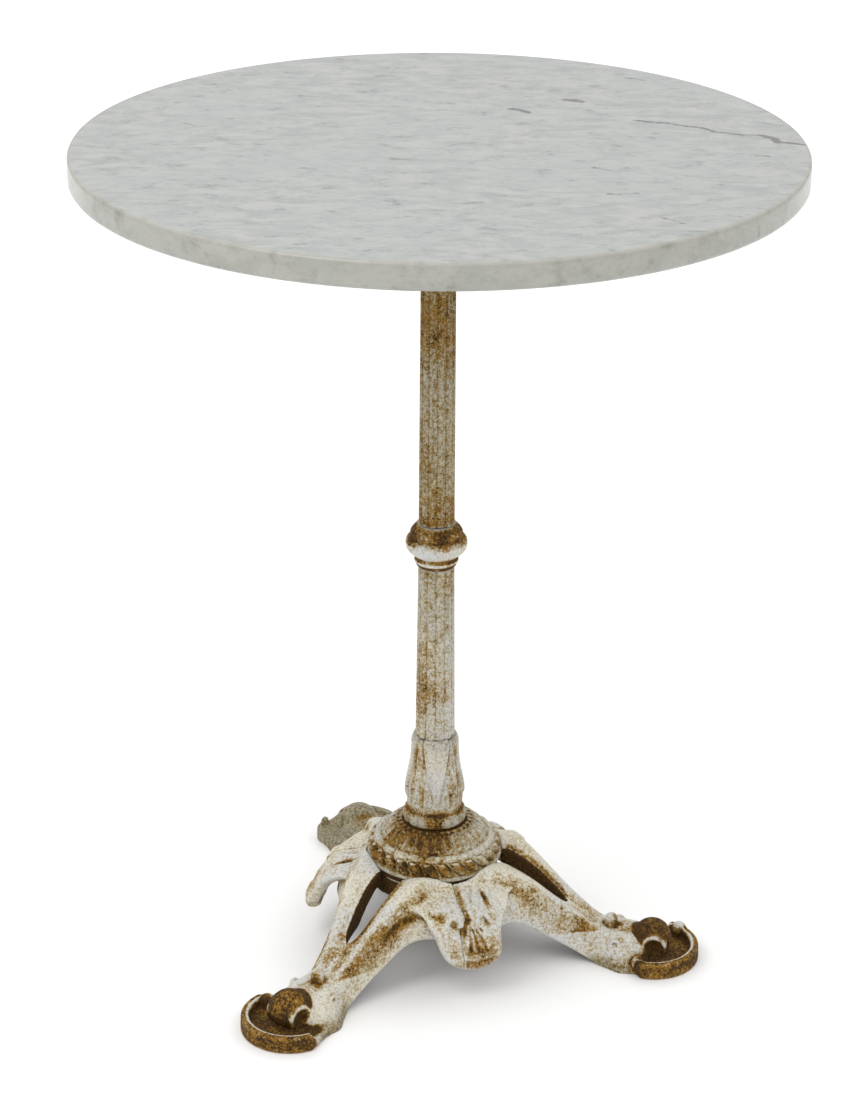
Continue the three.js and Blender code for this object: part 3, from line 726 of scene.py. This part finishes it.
def dome_rust_and_shade(points):
    """Rust bias of the dome: it fills the rope's lobes and the tongues, and clears on their seams. As
    rust it also paints the vase's shadow round its top and shade under its lip.
    """
    r = np.hypot(points[:, 0], points[:, 1])
    z = points[:, 2]
    turns = np.arctan2(points[:, 1], points[:, 0]) / (2 * math.pi)
    on_rope = band(z, 94.4, 103.4, 0.8) * (r > 50)
    on_tongues = soft_step(r, 46.4, 44) * soft_step(z, 106, 108)
    filling = soft_step(rope_lobe(turns, z), 0.3, 0.55)
    carved = on_rope * (filling * 0.95 - 0.42)
    carved = carved + on_tongues * (bumps(TONGUES * turns, 0.7) - 0.62) * 0.9
    step = -0.12 * band(z, 104.4, 109.4, 0.8) * (r > 46)
    # painted shadow of the vase on the dome's top, laid on as rust
    top = 0.5 * soft_step(r, 35, 32.5) * soft_step(z, 117, 119)
    # painted shade under the dome's lip, laid on as rust
    shade_under_lip = 1.1 * band(z, 80, 88.4, 0.6)
    lip = -0.12 * band(z, 89.6, 92, 0.6)
    inside = 2.0 * ((z < 83.6) | (r < 29))
    worn = 0.075 * waves(points * (1, 1, 0), 90, 21) + 0.08 * waves(points, 40, 11)
    return (-0.005 + carved + step + top + shade_under_lip + lip + worn + patches(points, DOME_STAINS)
            + inside)


def dome_dirt_and_shadow(points):
    """Grime of the dome, thicker on its lip, with a painted shadow of the vase at its top."""
    z = points[:, 2]
    # the step near the top paints the vase's shadow; the rest is grime
    return 0.35 + 0.45 * soft_step(z, 118, 121) + 0.3 * band(z, 89, 92.5, 1)


def build_dome(material):
    """The domed cap of the hub."""
    dome = shell_of(DOME_OUTSIDE, DOME_BORE)
    obj = turned("hub_dome_casting", dome, DOME_SIDES, 0.6, dome_relief, dome_rust_and_shade, 14, 29.5,
                 dome_dirt_and_shadow)
    finish_piece(obj, material, "hub_dome")


VASE_OUTSIDE = [(25.4, 123.0), (26.6, 123.6), (27.4, 125), (27.9, 127.4), (27.9, 129.8), (27.2, 132),
                (26.2, 133.8), (25, 135.2), (24.5, 136.4), (24.6, 138), (25, 141), (25.4, 145),
                (25.6, 150), (25.2, 156), (24.2, 163), (22.8, 171), (21.6, 179), (20.9, 187),
                (20.5, 194), (20.2, 199), (19.8, 202.4), (19.2, 204.4), (18.2, 205.8)]
VASE_LEAVES = 4
PETALS = 16
VASE_SIDES = 480
COLUMN_BORE = 9.2              # radius of the passage for the tie rod
VASE_STAINS = [(-88, 128, 9, 0.5), (-60, 128, 7, -0.45), (-120, 129, 8, -0.35),
               (-155, 165, 14, 0.15), (-25, 160, 14, 0.2)]


def leaf_turn(angle):
    """Degrees from the middle of the nearest big leaf; one of them faces the front."""
    pitch = 360 / VASE_LEAVES
    return (np.degrees(angle) + 86 + pitch / 2) % pitch - pitch / 2


def vase_relief(angle, r, z):
    """Height of the vase's ornament: four leaves, the ribs between them and a ring of petals."""
    turn = np.abs(leaf_turn(angle))
    half = 3 + 33 * soft_step(z, 138, 206)
    leaf = 1.3 * soft_step(turn, half, half - 5) * soft_step(z, 143, 152)
    edge = 0.7 * bell(turn - half + 4, 2.6) * soft_step(z, 143, 152)
    fold = -0.8 * bell(turn - half - 2.5, 2.4) * soft_step(z, 143, 150)
    ribs = 0.45 * np.cos(np.radians(turn) * 30 + (z - 150) * 0.16)
    ribs = ribs * soft_step(turn, half + 2, half + 6) * band(z, 146, 190, 6)
    side_leaf = 1.1 * bell(turn - 45, 11) * band(z, 144, 172, 10)
    petal = (bumps(PETALS * angle / (2 * math.pi), 0.8) - 0.7) * 1.8 * band(z, 126, 131, 2.5)
    lip = 0.35 * np.cos(angle * 26) * band(z, 199, 203, 2)
    sunk = -0.9 * band(z, 143, 203, 6)
    return leaf + edge + fold + ribs + side_leaf + petal + lip + sunk


def vase_rust_and_shadow(points):
    """Rust bias of the vase: its neck, its rim and the folds beside the leaves, and as rust a painted
    shadow at its foot where it stands on the dome.
    """
    z = points[:, 2]
    turn = np.abs(leaf_turn(np.arctan2(points[:, 1], points[:, 0])))
    clean = -0.3 * soft_step(turn, 32, 18) * soft_step(z, 150, 175)
    low = 0.2 * soft_step(z, 146, 136)
    neck = 0.45 * bell(z - 136.5, 2.6)
    # painted shadow at the vase's foot, where it stands on the dome, laid on as rust
    foot = 0.9 * soft_step(z, 125.6, 124.2)
    rim = 0.35 * bell(z - 204.8, 1.6)
    fold = 0.25 * bell(turn - 31, 5) * band(z, 148, 198, 6)
    return (-0.02 + clean + low + neck + foot + rim + fold + patches(points, VASE_STAINS)
            + 0.12 * waves(points, 30, 12))


def vase_dirt_and_shadow(points):
    """Grime of the vase, thick at its neck, and darkest at its foot, which is painted shadow where it
    stands on the dome.
    """
    # the values at the foot paint the shadow where the vase stands on the dome
    return np.interp(points[:, 2], [123, 126, 136, 142, 175, 199, 205],
                     [1.0, 0.7, 0.8, 0.35, 0.15, 0.3, 0.6])


def build_vase(material):
    """The leaf cup at the foot of the column."""
    vase = shell_of(VASE_OUTSIDE, COLUMN_BORE)
    obj = turned("vase_casting", vase, VASE_SIDES, 0.6, vase_relief, vase_rust_and_shadow, 14, 17, vase_dirt_and_shadow)
    finish_piece(obj, material, "vase")


KNOP_OUTSIDE = [(16.6, 368), (17.4, 369), (17.6, 370.4), (18.6, 371.4), (19.1, 373), (18.8, 374.6),
                (18.4, 375.6), (18.6, 377), (20.2, 378.8), (22.6, 380.6), (24.6, 382.4), (26, 385),
                (26.6, 388), (26.5, 390.6), (25.8, 392.8), (24.2, 394.2), (23, 395.2), (22.8, 396.8),
                (22.6, 399), (21.6, 401.2), (20.2, 403), (18.6, 404.6), (17.2, 406.4)]
KNOP_SIDES = 300
KNOP_STAINS = [(-150, 394, 12, 0.5), (-75, 396, 9, 0.3), (-30, 392, 12, 0.35),
               (-110, 386, 8, -0.2)]


def knop_rust(points):
    """Rust bias of the knop: the rings below it and its shoulder rust, its belly is clean."""
    z = points[:, 2]
    ring = 0.9 * soft_step(z, 372.5, 370.5) + 0.55 * band(z, 374.5, 378, 1.2)
    top = 0.35 * soft_step(z, 391, 396)
    clean = -0.35 * band(z, 383, 389, 2)
    return (0.05 + ring + top + clean + patches(points, KNOP_STAINS)
            + 0.12 * waves(points, 22, 13))


def build_knop(material):
    """The ringed collar between the two columns."""
    knop = shell_of(KNOP_OUTSIDE, COLUMN_BORE)
    obj = turned("column_knop_casting", knop, KNOP_SIDES, 0.45, None, knop_rust, 14, 15)
    finish_piece(obj, material, "column_knop")


FLUTES = 12
FLUTE_DEPTH = 1.3
COLUMN_SIDES = 216
COLUMN_EDGE = 0.8
UPPER_RADII = (15.7, 14.9)     # at the foot and at the head
LOWER_RADII = (17.5, 15.9)
UPPER_STAINS = [(-40, 660, 42, 0.14), (-60, 600, 38, 0.12), (-160, 480, 34, 0.2),
                (-165, 560, 34, 0.14), (-95, 585, 22, 0.12), (-110, 640, 24, -0.08),
                (-70, 420, 20, 0.2), (-120, 415, 18, 0.15), (-80, 500, 26, -0.1),
                (90, 600, 60, 0.1), (60, 450, 40, 0.1)]
LOWER_STAINS = [(-160, 300, 50, 0.2), (-155, 240, 30, 0.2), (-95, 262, 10, 0.15),
                (-70, 330, 30, -0.05), (-85, 225, 16, -0.1), (-30, 350, 20, 0.15),
                (80, 280, 60, 0.15)]


def flutes(angle, r, z):
    """Shallow flutes along the whole outside of a column."""
    wave = np.abs(np.sin(FLUTES * angle / 2)) ** 0.8
    return -FLUTE_DEPTH * (1 - wave) * (r > 12)


def upper_column_rust(points):
    """Rust bias of the upper column, which rusts most at its ends."""
    z = points[:, 2]
    ends = 0.35 * soft_step(z, 414, 408) + 0.12 * soft_step(z, 560, 690)
    return 0.12 + patches(points, UPPER_STAINS) + ends + 0.08 * waves(points, 35, 14)


def lower_column_rust(points):
    """Rust bias of the lower column, which rusts most at its ends."""
    z = points[:, 2]
    ends = 0.35 * soft_step(z, 358, 367) + 0.25 * soft_step(z, 212, 207)
    return -0.12 + patches(points, LOWER_STAINS) + ends + 0.08 * waves(points, 30, 15)


def column_dirt(points):
    """The upper column and the top of the lower one are coated in olive grime."""
    return np.interp(points[:, 2], [206, 225, 300, 360, 420, 520, 640, 690],
                     [0.35, 0.2, 0.35, 0.6, 0.8, 0.7, 0.9, 1.0])


def column_profile(node, radii):
    """A pipe as tall as the CAD node, tapering between the two radii, with small edges broken."""
    low, high = (corner.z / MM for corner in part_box(node))
    foot, head = radii
    return [(COLUMN_BORE, low), (foot - COLUMN_EDGE, low), (foot, low + COLUMN_EDGE),
            (head, high - COLUMN_EDGE), (head - COLUMN_EDGE, high), (COLUMN_BORE, high),
            (COLUMN_BORE, low)]


def build_column(node, radii, rust, material):
    """One fluted column."""
    profile = column_profile(node, radii)
    obj = turned(node + "_casting", profile, COLUMN_SIDES, 1.2, flutes, rust, 8, 13, column_dirt)
    finish_piece(obj, material, node)


# ---------------- marble top

TOP_EDGE = 2.4
TOP_SIDES = 600
TOP_STEP = 2.5
POLE = 0.5                     # radius of the flat cap in the middle of each face
VEINS = [                      # points in mm on the top, half width in mm, strength
    ([(160, 80), (182, 75), (204, 66), (220, 57), (230, 48), (246, 43), (262, 38)], 1.6, 0.8),
    ([(262, 38), (268, 30), (272, 20), (283, 20), (300, 8)], 1.8, 1.0),
    ([(246, 43), (252, 34), (268, 27)], 1.1, 0.6),
    ([(58, 112), (68, 109), (76, 104)], 2.2, 1.0),
    ([(76, 104), (98, 96), (126, 84), (152, 84), (166, 79)], 0.9, 0.5),
    ([(108, 144), (120, 141)], 1.6, 0.8),
    ([(160, 214), (174, 208)], 1.5, 0.6),
    ([(138, -20), (156, -24)], 1.4, 0.5),
    ([(130, -124), (154, -126)], 1.6, 0.6),
    ([(120, -60), (136, -62)], 1.5, 0.6),
    ([(250, -20), (266, -24)], 1.5, 0.6),
    ([(168, -186), (182, -200)], 1.6, 0.7),
    ([(230, -172), (244, -178)], 1.4, 0.6),
    ([(44, 212), (60, 213)], 1.5, 0.6),
    ([(-120, 150), (-90, 146), (-74, 150)], 1.4, 0.5),
    ([(-210, 60), (-190, 54)], 1.5, 0.5),
    ([(-60, -70), (-34, -76), (-20, -74)], 1.4, 0.5),
    ([(-180, -110), (-160, -118)], 1.5, 0.5),
]


def vein_strength(points):
    """How strongly each vertex of the top is part of a vein: 1 on its line, 0 beside it."""
    x = points[:, 0] + 3 * waves(points, 46, 31)
    y = points[:, 1] + 3 * waves(points, 38, 32)
    total = np.zeros(len(points))
    for path, half_width, strength in VEINS:
        away = path_distance(x, y, path)
        total = np.maximum(total, strength * bell(away, 2.2 * half_width))
    return total


def build_top(material):
    """The marble disc with rounded edges, and its "vein" and "rim" values for the material. "rim" also
    paints a highlight along the top edge.
    """
    low, high = TOP_UNDERSIDE, TOP_HEIGHT
    edge = TOP_EDGE
    quarter = np.linspace(math.pi / 2, 0, 7)
    under = [(TOP_RADIUS - edge + edge * math.cos(a), low + edge - edge * math.sin(a))
             for a in quarter]
    over = [(TOP_RADIUS - edge + edge * math.sin(a), high - edge + edge * math.cos(a))
            for a in quarter]
    at, _ = resample([(POLE, low), *under, *over, (POLE, high)], TOP_STEP)
    angle = np.linspace(0, 2 * math.pi, TOP_SIDES, endpoint=False)
    radius, height = at[:, 0][:, None], at[:, 1][:, None]
    verts = np.stack([radius * np.cos(angle), radius * np.sin(angle), height + 0 * angle], 2)
    index = np.arange(len(at) * TOP_SIDES).reshape(len(at), TOP_SIDES)
    below, above = index[:-1], index[1:]
    quads = np.stack([below, np.roll(below, -1, 1), np.roll(above, -1, 1), above], 2)
    flat = verts.reshape(-1, 3)
    obj = make_piece("marble_top_slab", flat, quads.reshape(-1, 4), 0.0, 1)
    from_edge = TOP_RADIUS - np.hypot(flat[:, 0], flat[:, 1])
    # a painted highlight along the rounded top edge
    edge_highlight = band(flat[:, 2], high - 1.2, high - 0.1, 0.4) * (from_edge < 3)
    rim = soft_step(from_edge, TOP_EDGE, 0.8) + 0.7 * edge_highlight
    set_attribute(obj.data, "vein", vein_strength(flat))
    set_attribute(obj.data, "rim", rim)
    close_poles(obj, [index[0][::-1], index[-1]])
    finish_piece(obj, material, "marble_top")


def close_poles(obj, rings):
    """One flat face inside each ring of vertices."""
    bm = bmesh.new()
    bm.from_mesh(obj.data)
    bm.verts.ensure_lookup_table()
    for ring in rings:
        bm.faces.new([bm.verts[i] for i in ring])
    bm.to_mesh(obj.data)
    bm.free()


# ---------------- materials

def srgb(red, green, blue):
    """A colour from 0 to 255 as the linear RGBA that the shaders take."""
    def linear(c):
        c /= 255
        return c / 12.92 if c <= 0.04045 else ((c + 0.055) / 1.055) ** 2.4
    return linear(red), linear(green), linear(blue), 1.0


PAINT_WARM = srgb(216, 211, 196)
PAINT_COOL = srgb(206, 206, 204)
PAINT_WORN = srgb(172, 166, 146)
PAINT_STAINED = srgb(168, 146, 92)
PAINT_IN_HOLLOWS = srgb(118, 102, 66)
GRIME_PALE = srgb(158, 147, 114)
GRIME_DARK = srgb(82, 68, 30)
RUST_OCHRE = (srgb(164, 120, 42), srgb(120, 86, 24))
RUST_BROWN = (srgb(88, 60, 20), srgb(48, 34, 12))
IRON_BROWN = srgb(74, 58, 46)
IRON_ORANGE = srgb(112, 72, 38)
IRON_DARK = srgb(58, 50, 46)
ZINC = srgb(168, 168, 166)
ZINC_RUSTED = srgb(120, 98, 74)
BRASS_BRIGHT = srgb(176, 142, 78)
BRASS_DULL = srgb(120, 92, 50)
MARBLE_PALE = srgb(170, 171, 168)
MARBLE_STREAK = srgb(150, 153, 151)
MARBLE_CLOUD = srgb(163, 166, 164)
MARBLE_FINE_STREAK = srgb(134, 137, 136)
MARBLE_FLECK = srgb(96, 98, 98)
MARBLE_VEIN = srgb(72, 72, 70)
MARBLE_RIM = srgb(172, 169, 154)
MARBLE_BLOTCH = srgb(118, 116, 106)
FLOOR_WHITE = srgb(250, 250, 250)


COLOUR_A, COLOUR_B = 6, 7       # a Mix node's sockets when it mixes colours
COLOUR_RESULT = 2


class Shader:
    """A material with one Principled shader, and a short call for each kind of node."""

    def __init__(self, name):
        self.material = bpy.data.materials.new(name)
        self.material.use_nodes = True
        self.tree = self.material.node_tree
        self.tree.nodes.clear()
        output = self.tree.nodes.new("ShaderNodeOutputMaterial")
        self.surface = self.tree.nodes.new("ShaderNodeBsdfPrincipled")
        self.tree.links.new(self.surface.outputs[0], output.inputs["Surface"])
        self.place = self.tree.nodes.new("ShaderNodeTexCoord").outputs["Object"]

    def put(self, socket, value):
        """Link a socket to another, or set it to a plain value."""
        if isinstance(value, bpy.types.NodeSocket):
            self.tree.links.new(value, socket)
        else:
            socket.default_value = value

    def fill(self, node, **inputs):
        """Link or set a node's inputs; an underscore in a name stands for a space."""
        for name, value in inputs.items():
            self.put(node.inputs[name.replace("_", " ")], value)

    def set(self, colour, roughness, metallic=0.0):
        self.fill(self.surface, Base_Color=colour, Roughness=roughness, Metallic=metallic)

    def noise(self, scale, detail=3.0, roughness=0.55, place=None, distortion=0.0):
        """Noise from 0 to 1, with about scale repeats per unit of the place."""
        node = self.tree.nodes.new("ShaderNodeTexNoise")
        self.fill(node, Vector=place or self.place, Scale=scale, Detail=detail,
                  Roughness=roughness, Distortion=distortion)
        return node.outputs["Fac"]

    def math(self, operation, a, b=0.0, c=0.0):
        node = self.tree.nodes.new("ShaderNodeMath")
        node.operation = operation
        for socket, value in zip(node.inputs, (a, b, c)):
            self.put(socket, value)
        return node.outputs[0]

    def total(self, *terms):
        result = terms[0]
        for term in terms[1:]:
            result = self.math("ADD", result, term)
        return result

    def about(self, value, size):
        """A 0 to 1 value as a swing of -size/2 to size/2."""
        return self.math("MULTIPLY_ADD", value, size, -size / 2)

    def step(self, value, low, high):
        """0 at low and 1 at high, with an even start and end."""
        node = self.tree.nodes.new("ShaderNodeMapRange")
        node.interpolation_type = "SMOOTHSTEP"
        self.fill(node, Value=value, From_Min=low, From_Max=high)
        return node.outputs["Result"]

    def mix(self, factor, a, b):
        node = self.tree.nodes.new("ShaderNodeMix")
        node.data_type = "RGBA"
        self.put(node.inputs["Factor"], factor)
        self.put(node.inputs[COLOUR_A], a)
        self.put(node.inputs[COLOUR_B], b)
        return node.outputs[COLOUR_RESULT]

    def tint(self, base, factor, strength, colour):
        """The base with the colour over it, by up to the strength."""
        return self.mix(self.math("MULTIPLY", factor, strength), base, colour)

    def blend(self, factor, a, b):
        """From a to b, which are numbers or sockets."""
        numbers = not hasattr(a, "node") and not hasattr(b, "node")
        difference = b - a if numbers else self.math("SUBTRACT", b, a)
        return self.math("MULTIPLY_ADD", factor, difference, a)

    def value_of(self, attribute):
        node = self.tree.nodes.new("ShaderNodeAttribute")
        node.attribute_name = attribute
        return node.outputs["Fac"]

    def stretched(self, x, y, z, turn=(0, 0, 0)):
        """The place in the object, turned and then scaled along each axis."""
        node = self.tree.nodes.new("ShaderNodeMapping")
        self.fill(node, Vector=self.place, Scale=(x, y, z), Rotation=turn)
        return node.outputs["Vector"]

    def bump(self, height, distance, strength=1.0):
        """Shade the surface as if the height, times the distance in metres, stood on it."""
        node = self.tree.nodes.new("ShaderNodeBump")
        self.fill(node, Distance=distance, Strength=strength, Height=height)
        self.put(self.surface.inputs["Normal"], node.outputs["Normal"])


def painted_iron():
    """Old cream-white paint on cast iron, chipped and stained by rust. Through the rust and dirt values
    it also paints shadow round the vase's foot and shade under the dome's lip.
    """
    s = Shader("painted_iron_aged")
    hollow = s.value_of("hollow")
    dirt = s.value_of("dirt")
    broad = s.noise(24, 2)
    middle = s.noise(110, 4, 0.65)
    fine = s.noise(420, 3, 0.7)
    grit = s.noise(1300, 2, 0.6)
    # the rust value also carries painted shadow round the vase's foot and the dome's top, and painted
    # shade under the dome's lip
    level = s.total(s.value_of("rust"), s.math("MULTIPLY", hollow, 0.45), s.about(broad, 0.45),
                    s.about(middle, 0.9), s.about(fine, 1.7), s.about(grit, 0.9))
    rust = s.step(level, 0.24, 0.46)
    stain = s.step(level, -0.2, 0.32)
    heavy = s.step(s.total(level, s.about(s.noise(75, 3), 0.9)), 0.38, 0.85)
    cool = s.step(s.noise(15, 2), 0.42, 0.58)
    paint = s.mix(cool, PAINT_WARM, PAINT_COOL)
    paint = s.mix(s.step(s.total(fine, s.about(grit, 0.8)), 0.42, 0.74), paint, PAINT_WORN)
    paint = s.tint(paint, stain, 0.85, PAINT_STAINED)
    # paint turns darker and browner the deeper a recess lies
    hollow_darkening = s.step(hollow, 0.1, 0.8)
    paint = s.tint(paint, hollow_darkening, 0.7, PAINT_IN_HOLLOWS)
    runs = s.noise(1.0, 3, 0.6, s.stretched(420, 420, 30))
    mottle = s.total(fine, s.about(grit, 0.7), s.about(runs, 0.7))
    coat = s.mix(s.step(mottle, 0.34, 0.66), GRIME_PALE, GRIME_DARK)
    # the dirt value also carries painted shadow round the vase's foot and the dome's top
    paint = s.tint(paint, dirt, 0.8, coat)
    ochre = s.mix(s.step(grit, 0.35, 0.65), *RUST_OCHRE)
    brown = s.mix(s.step(fine, 0.35, 0.65), *RUST_BROWN)
    s.set(s.mix(rust, paint, s.mix(heavy, ochre, brown)),
          s.blend(rust, s.blend(s.step(middle, 0.4, 0.6), 0.42, 0.55), 0.8))
    relief = s.total(s.math("MULTIPLY", rust, -0.6), s.about(grit, 0.5), s.about(fine, 0.9),
                     s.about(middle, 0.8))
    s.bump(relief, 0.0007, 0.8)
    s.fill(s.surface, Specular_IOR_Level=0.22)
    return s.material


def bare_iron():
    """Unpainted iron with an even brown skin of rust."""
    s = Shader("bare_iron_rusted")
    middle = s.noise(120, 4, 0.6)
    fine = s.noise(700, 3, 0.6)
    base = s.mix(s.step(middle, 0.4, 0.62), IRON_BROWN, IRON_ORANGE)
    base = s.mix(s.step(fine, 0.5, 0.7), base, IRON_DARK)
    s.set(base, s.blend(middle, 0.6, 0.9), 0.35)
    s.bump(s.total(fine, middle), 0.0004, 0.7)
    return s.material


def steel():
    """Zinc-plated steel, rusting through in places."""
    s = Shader("zinc_plated_steel")
    middle = s.noise(180, 3, 0.6)
    fine = s.noise(1500, 2, 0.5)
    base = s.mix(s.step(middle, 0.55, 0.68), ZINC, ZINC_RUSTED)
    s.set(base, s.blend(middle, 0.28, 0.6), 0.9)
    s.bump(fine, 0.00008, 0.5)
    return s.material


def brass():
    """Dull yellow brass."""
    s = Shader("dull_brass")
    middle = s.noise(200, 3, 0.6)
    base = s.mix(s.step(middle, 0.4, 0.65), BRASS_BRIGHT, BRASS_DULL)
    s.set(base, s.blend(middle, 0.3, 0.55), 0.95)
    s.bump(s.noise(1200, 2), 0.00008, 0.5)
    return s.material


def marble():
    """Polished grey-white marble with cloudy streaks along X, small flecks and a few dark veins."""
    s = Shader("carrara_marble")
    along = s.stretched(13, 26, 26, (0, 0, math.radians(4)))
    streak = s.noise(2.4, 6, 0.66, along, 0.5)
    fine_streak = s.noise(8.0, 5, 0.65, along, 0.5)
    cloud = s.noise(8, 5, 0.6)
    flecks = s.noise(75, 5, 0.72, s.stretched(0.6, 1, 1, (0, 0, math.radians(-12))))
    base = s.mix(s.step(streak, 0.36, 0.64), MARBLE_PALE, MARBLE_STREAK)
    base = s.tint(base, s.step(cloud, 0.4, 0.65), 0.6, MARBLE_CLOUD)
    base = s.tint(base, s.step(fine_streak, 0.48, 0.72), 0.5, MARBLE_FINE_STREAK)
    fleck = s.math("MULTIPLY", s.step(flecks, 0.55, 0.68), s.step(streak, 0.38, 0.6))
    base = s.tint(base, fleck, 0.6, MARBLE_FLECK)
    vein = s.step(s.total(s.value_of("vein"), s.about(s.noise(160, 4, 0.7), 1.2)), 0.35, 0.8)
    base = s.tint(base, vein, 0.8, MARBLE_VEIN)
    # the rim value gives the slab's side its warmer tone and paints a highlight along the rounded top
    # edge
    base = s.tint(base, s.value_of("rim"), 0.4, MARBLE_RIM)
    blotch = s.math("MULTIPLY", s.value_of("rim"), s.step(s.noise(38, 5, 0.7), 0.52, 0.7))
    base = s.tint(base, blotch, 0.45, MARBLE_BLOTCH)
    s.set(base, s.blend(cloud, 0.16, 0.3))
    s.fill(s.surface, Specular_IOR_Level=0.5)
    s.bump(s.noise(40, 3), 0.0002, 0.15)
    return s.material


# ---------------- camera, light and floor

CAMERA_PLACE = (-0.0004, -2.4584, 1.4518)
CAMERA_YAW = math.radians(-0.0694)
CAMERA_PITCH = math.radians(23.539)
CAMERA_ROLL = math.radians(0.397)
LENS = 102.75
SENSOR_WIDTH = 36
HORIZON_LIGHT = 0.62
ZENITH_LIGHT = 1.45
KEY_PLACE = (-1.3, -1.2, 2.9)
KEY_TARGET = (0, 0, 0.35)
KEY_SIZE = 1.6
KEY_WATTS = 16
FLOOR_HALF = 6.0


def build_camera():
    """The camera in front of the table, looking down along -Z of its own axes."""
    camera = add_object("camera", bpy.data.cameras.new("camera"))
    camera.data.lens = LENS
    camera.data.sensor_width = SENSOR_WIDTH
    level = math.cos(CAMERA_PITCH)
    ahead = Vector((math.sin(CAMERA_YAW) * level, math.cos(CAMERA_YAW) * level,
                    -math.sin(CAMERA_PITCH)))
    right = Vector((math.cos(CAMERA_YAW), -math.sin(CAMERA_YAW), 0))
    up = right.cross(ahead)
    roll_cos, roll_sin = math.cos(CAMERA_ROLL), math.sin(CAMERA_ROLL)
    right, up = right * roll_cos + up * roll_sin, up * roll_cos - right * roll_sin
    turn = Matrix((right, up, -ahead)).transposed().to_4x4()
    camera.matrix_world = Matrix.Translation(CAMERA_PLACE) @ turn
    bpy.context.scene.camera = camera


def add_light(name, place, target, size, watts):
    light = bpy.data.lights.new(name, "AREA")
    light.shape = "DISK"
    light.size = size
    light.energy = watts
    obj = add_object(name, light)
    obj.location = place
    obj.rotation_euler = (Vector(target) - Vector(place)).to_track_quat("-Z", "Y").to_euler()


def build_world():
    """Light from all round, weaker at the horizon than overhead."""
    world = bpy.data.worlds.new("studio")
    world.use_nodes = True
    tree = world.node_tree
    direction = tree.nodes.new("ShaderNodeTexCoord").outputs["Generated"]
    parts = tree.nodes.new("ShaderNodeSeparateXYZ")
    overhead = tree.nodes.new("ShaderNodeMapRange")
    overhead.inputs["To Min"].default_value = HORIZON_LIGHT
    overhead.inputs["To Max"].default_value = ZENITH_LIGHT
    tree.links.new(direction, parts.inputs[0])
    tree.links.new(parts.outputs["Z"], overhead.inputs["Value"])
    background = tree.nodes["Background"]
    background.inputs["Color"].default_value = (1, 1, 1, 1)
    tree.links.new(overhead.outputs[0], background.inputs["Strength"])
    bpy.context.scene.world = world
    bpy.context.scene.view_settings.view_transform = "Standard"


def build_floor():
    """A white floor for the shadow, which is no part of the table."""
    half = FLOOR_HALF
    s = Shader("pale_floor")
    s.set(FLOOR_WHITE, 0.9)
    mesh = bpy.data.meshes.new("floor")
    mesh.from_pydata([(-half, -half, 0), (half, -half, 0), (half, half, 0), (-half, half, 0)],
                     [], [(0, 1, 2, 3)])
    mesh.materials.append(s.material)
    add_object("floor", mesh)


# ---------------- the whole

BARE_NODES = ("top_spider", "clamp_plate")
BRASS_NODES = tuple(f"marble_anchor_{i}" for i in (1, 2, 3, 4))
BEVEL_WIDTH = 0.4


def dress_cad_nodes(materials):
    """Materials and small bevels for the nodes that are shown as the CAD made them."""
    for name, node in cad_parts.items():
        if name in BARE_NODES:
            material = materials["bare"]
        elif name in BRASS_NODES:
            material = materials["brass"]
        else:
            material = materials["steel"]
        node.data.materials.clear()
        node.data.materials.append(material)
        bevel = node.modifiers.new("edges", "BEVEL")
        bevel.width = BEVEL_WIDTH * MM
        bevel.segments = 2


def main():
    paint = painted_iron()
    dress_cad_nodes({"bare": bare_iron(), "steel": steel(), "brass": brass()})
    build_legs(paint)
    build_dome(paint)
    build_vase(paint)
    build_knop(paint)
    build_column("upper_column", UPPER_RADII, upper_column_rust, paint)
    build_column("lower_column", LOWER_RADII, lower_column_rust, paint)
    build_top(marble())
    build_camera()
    build_world()
    add_light("key", KEY_PLACE, KEY_TARGET, KEY_SIZE, KEY_WATTS)
    build_floor()


main()
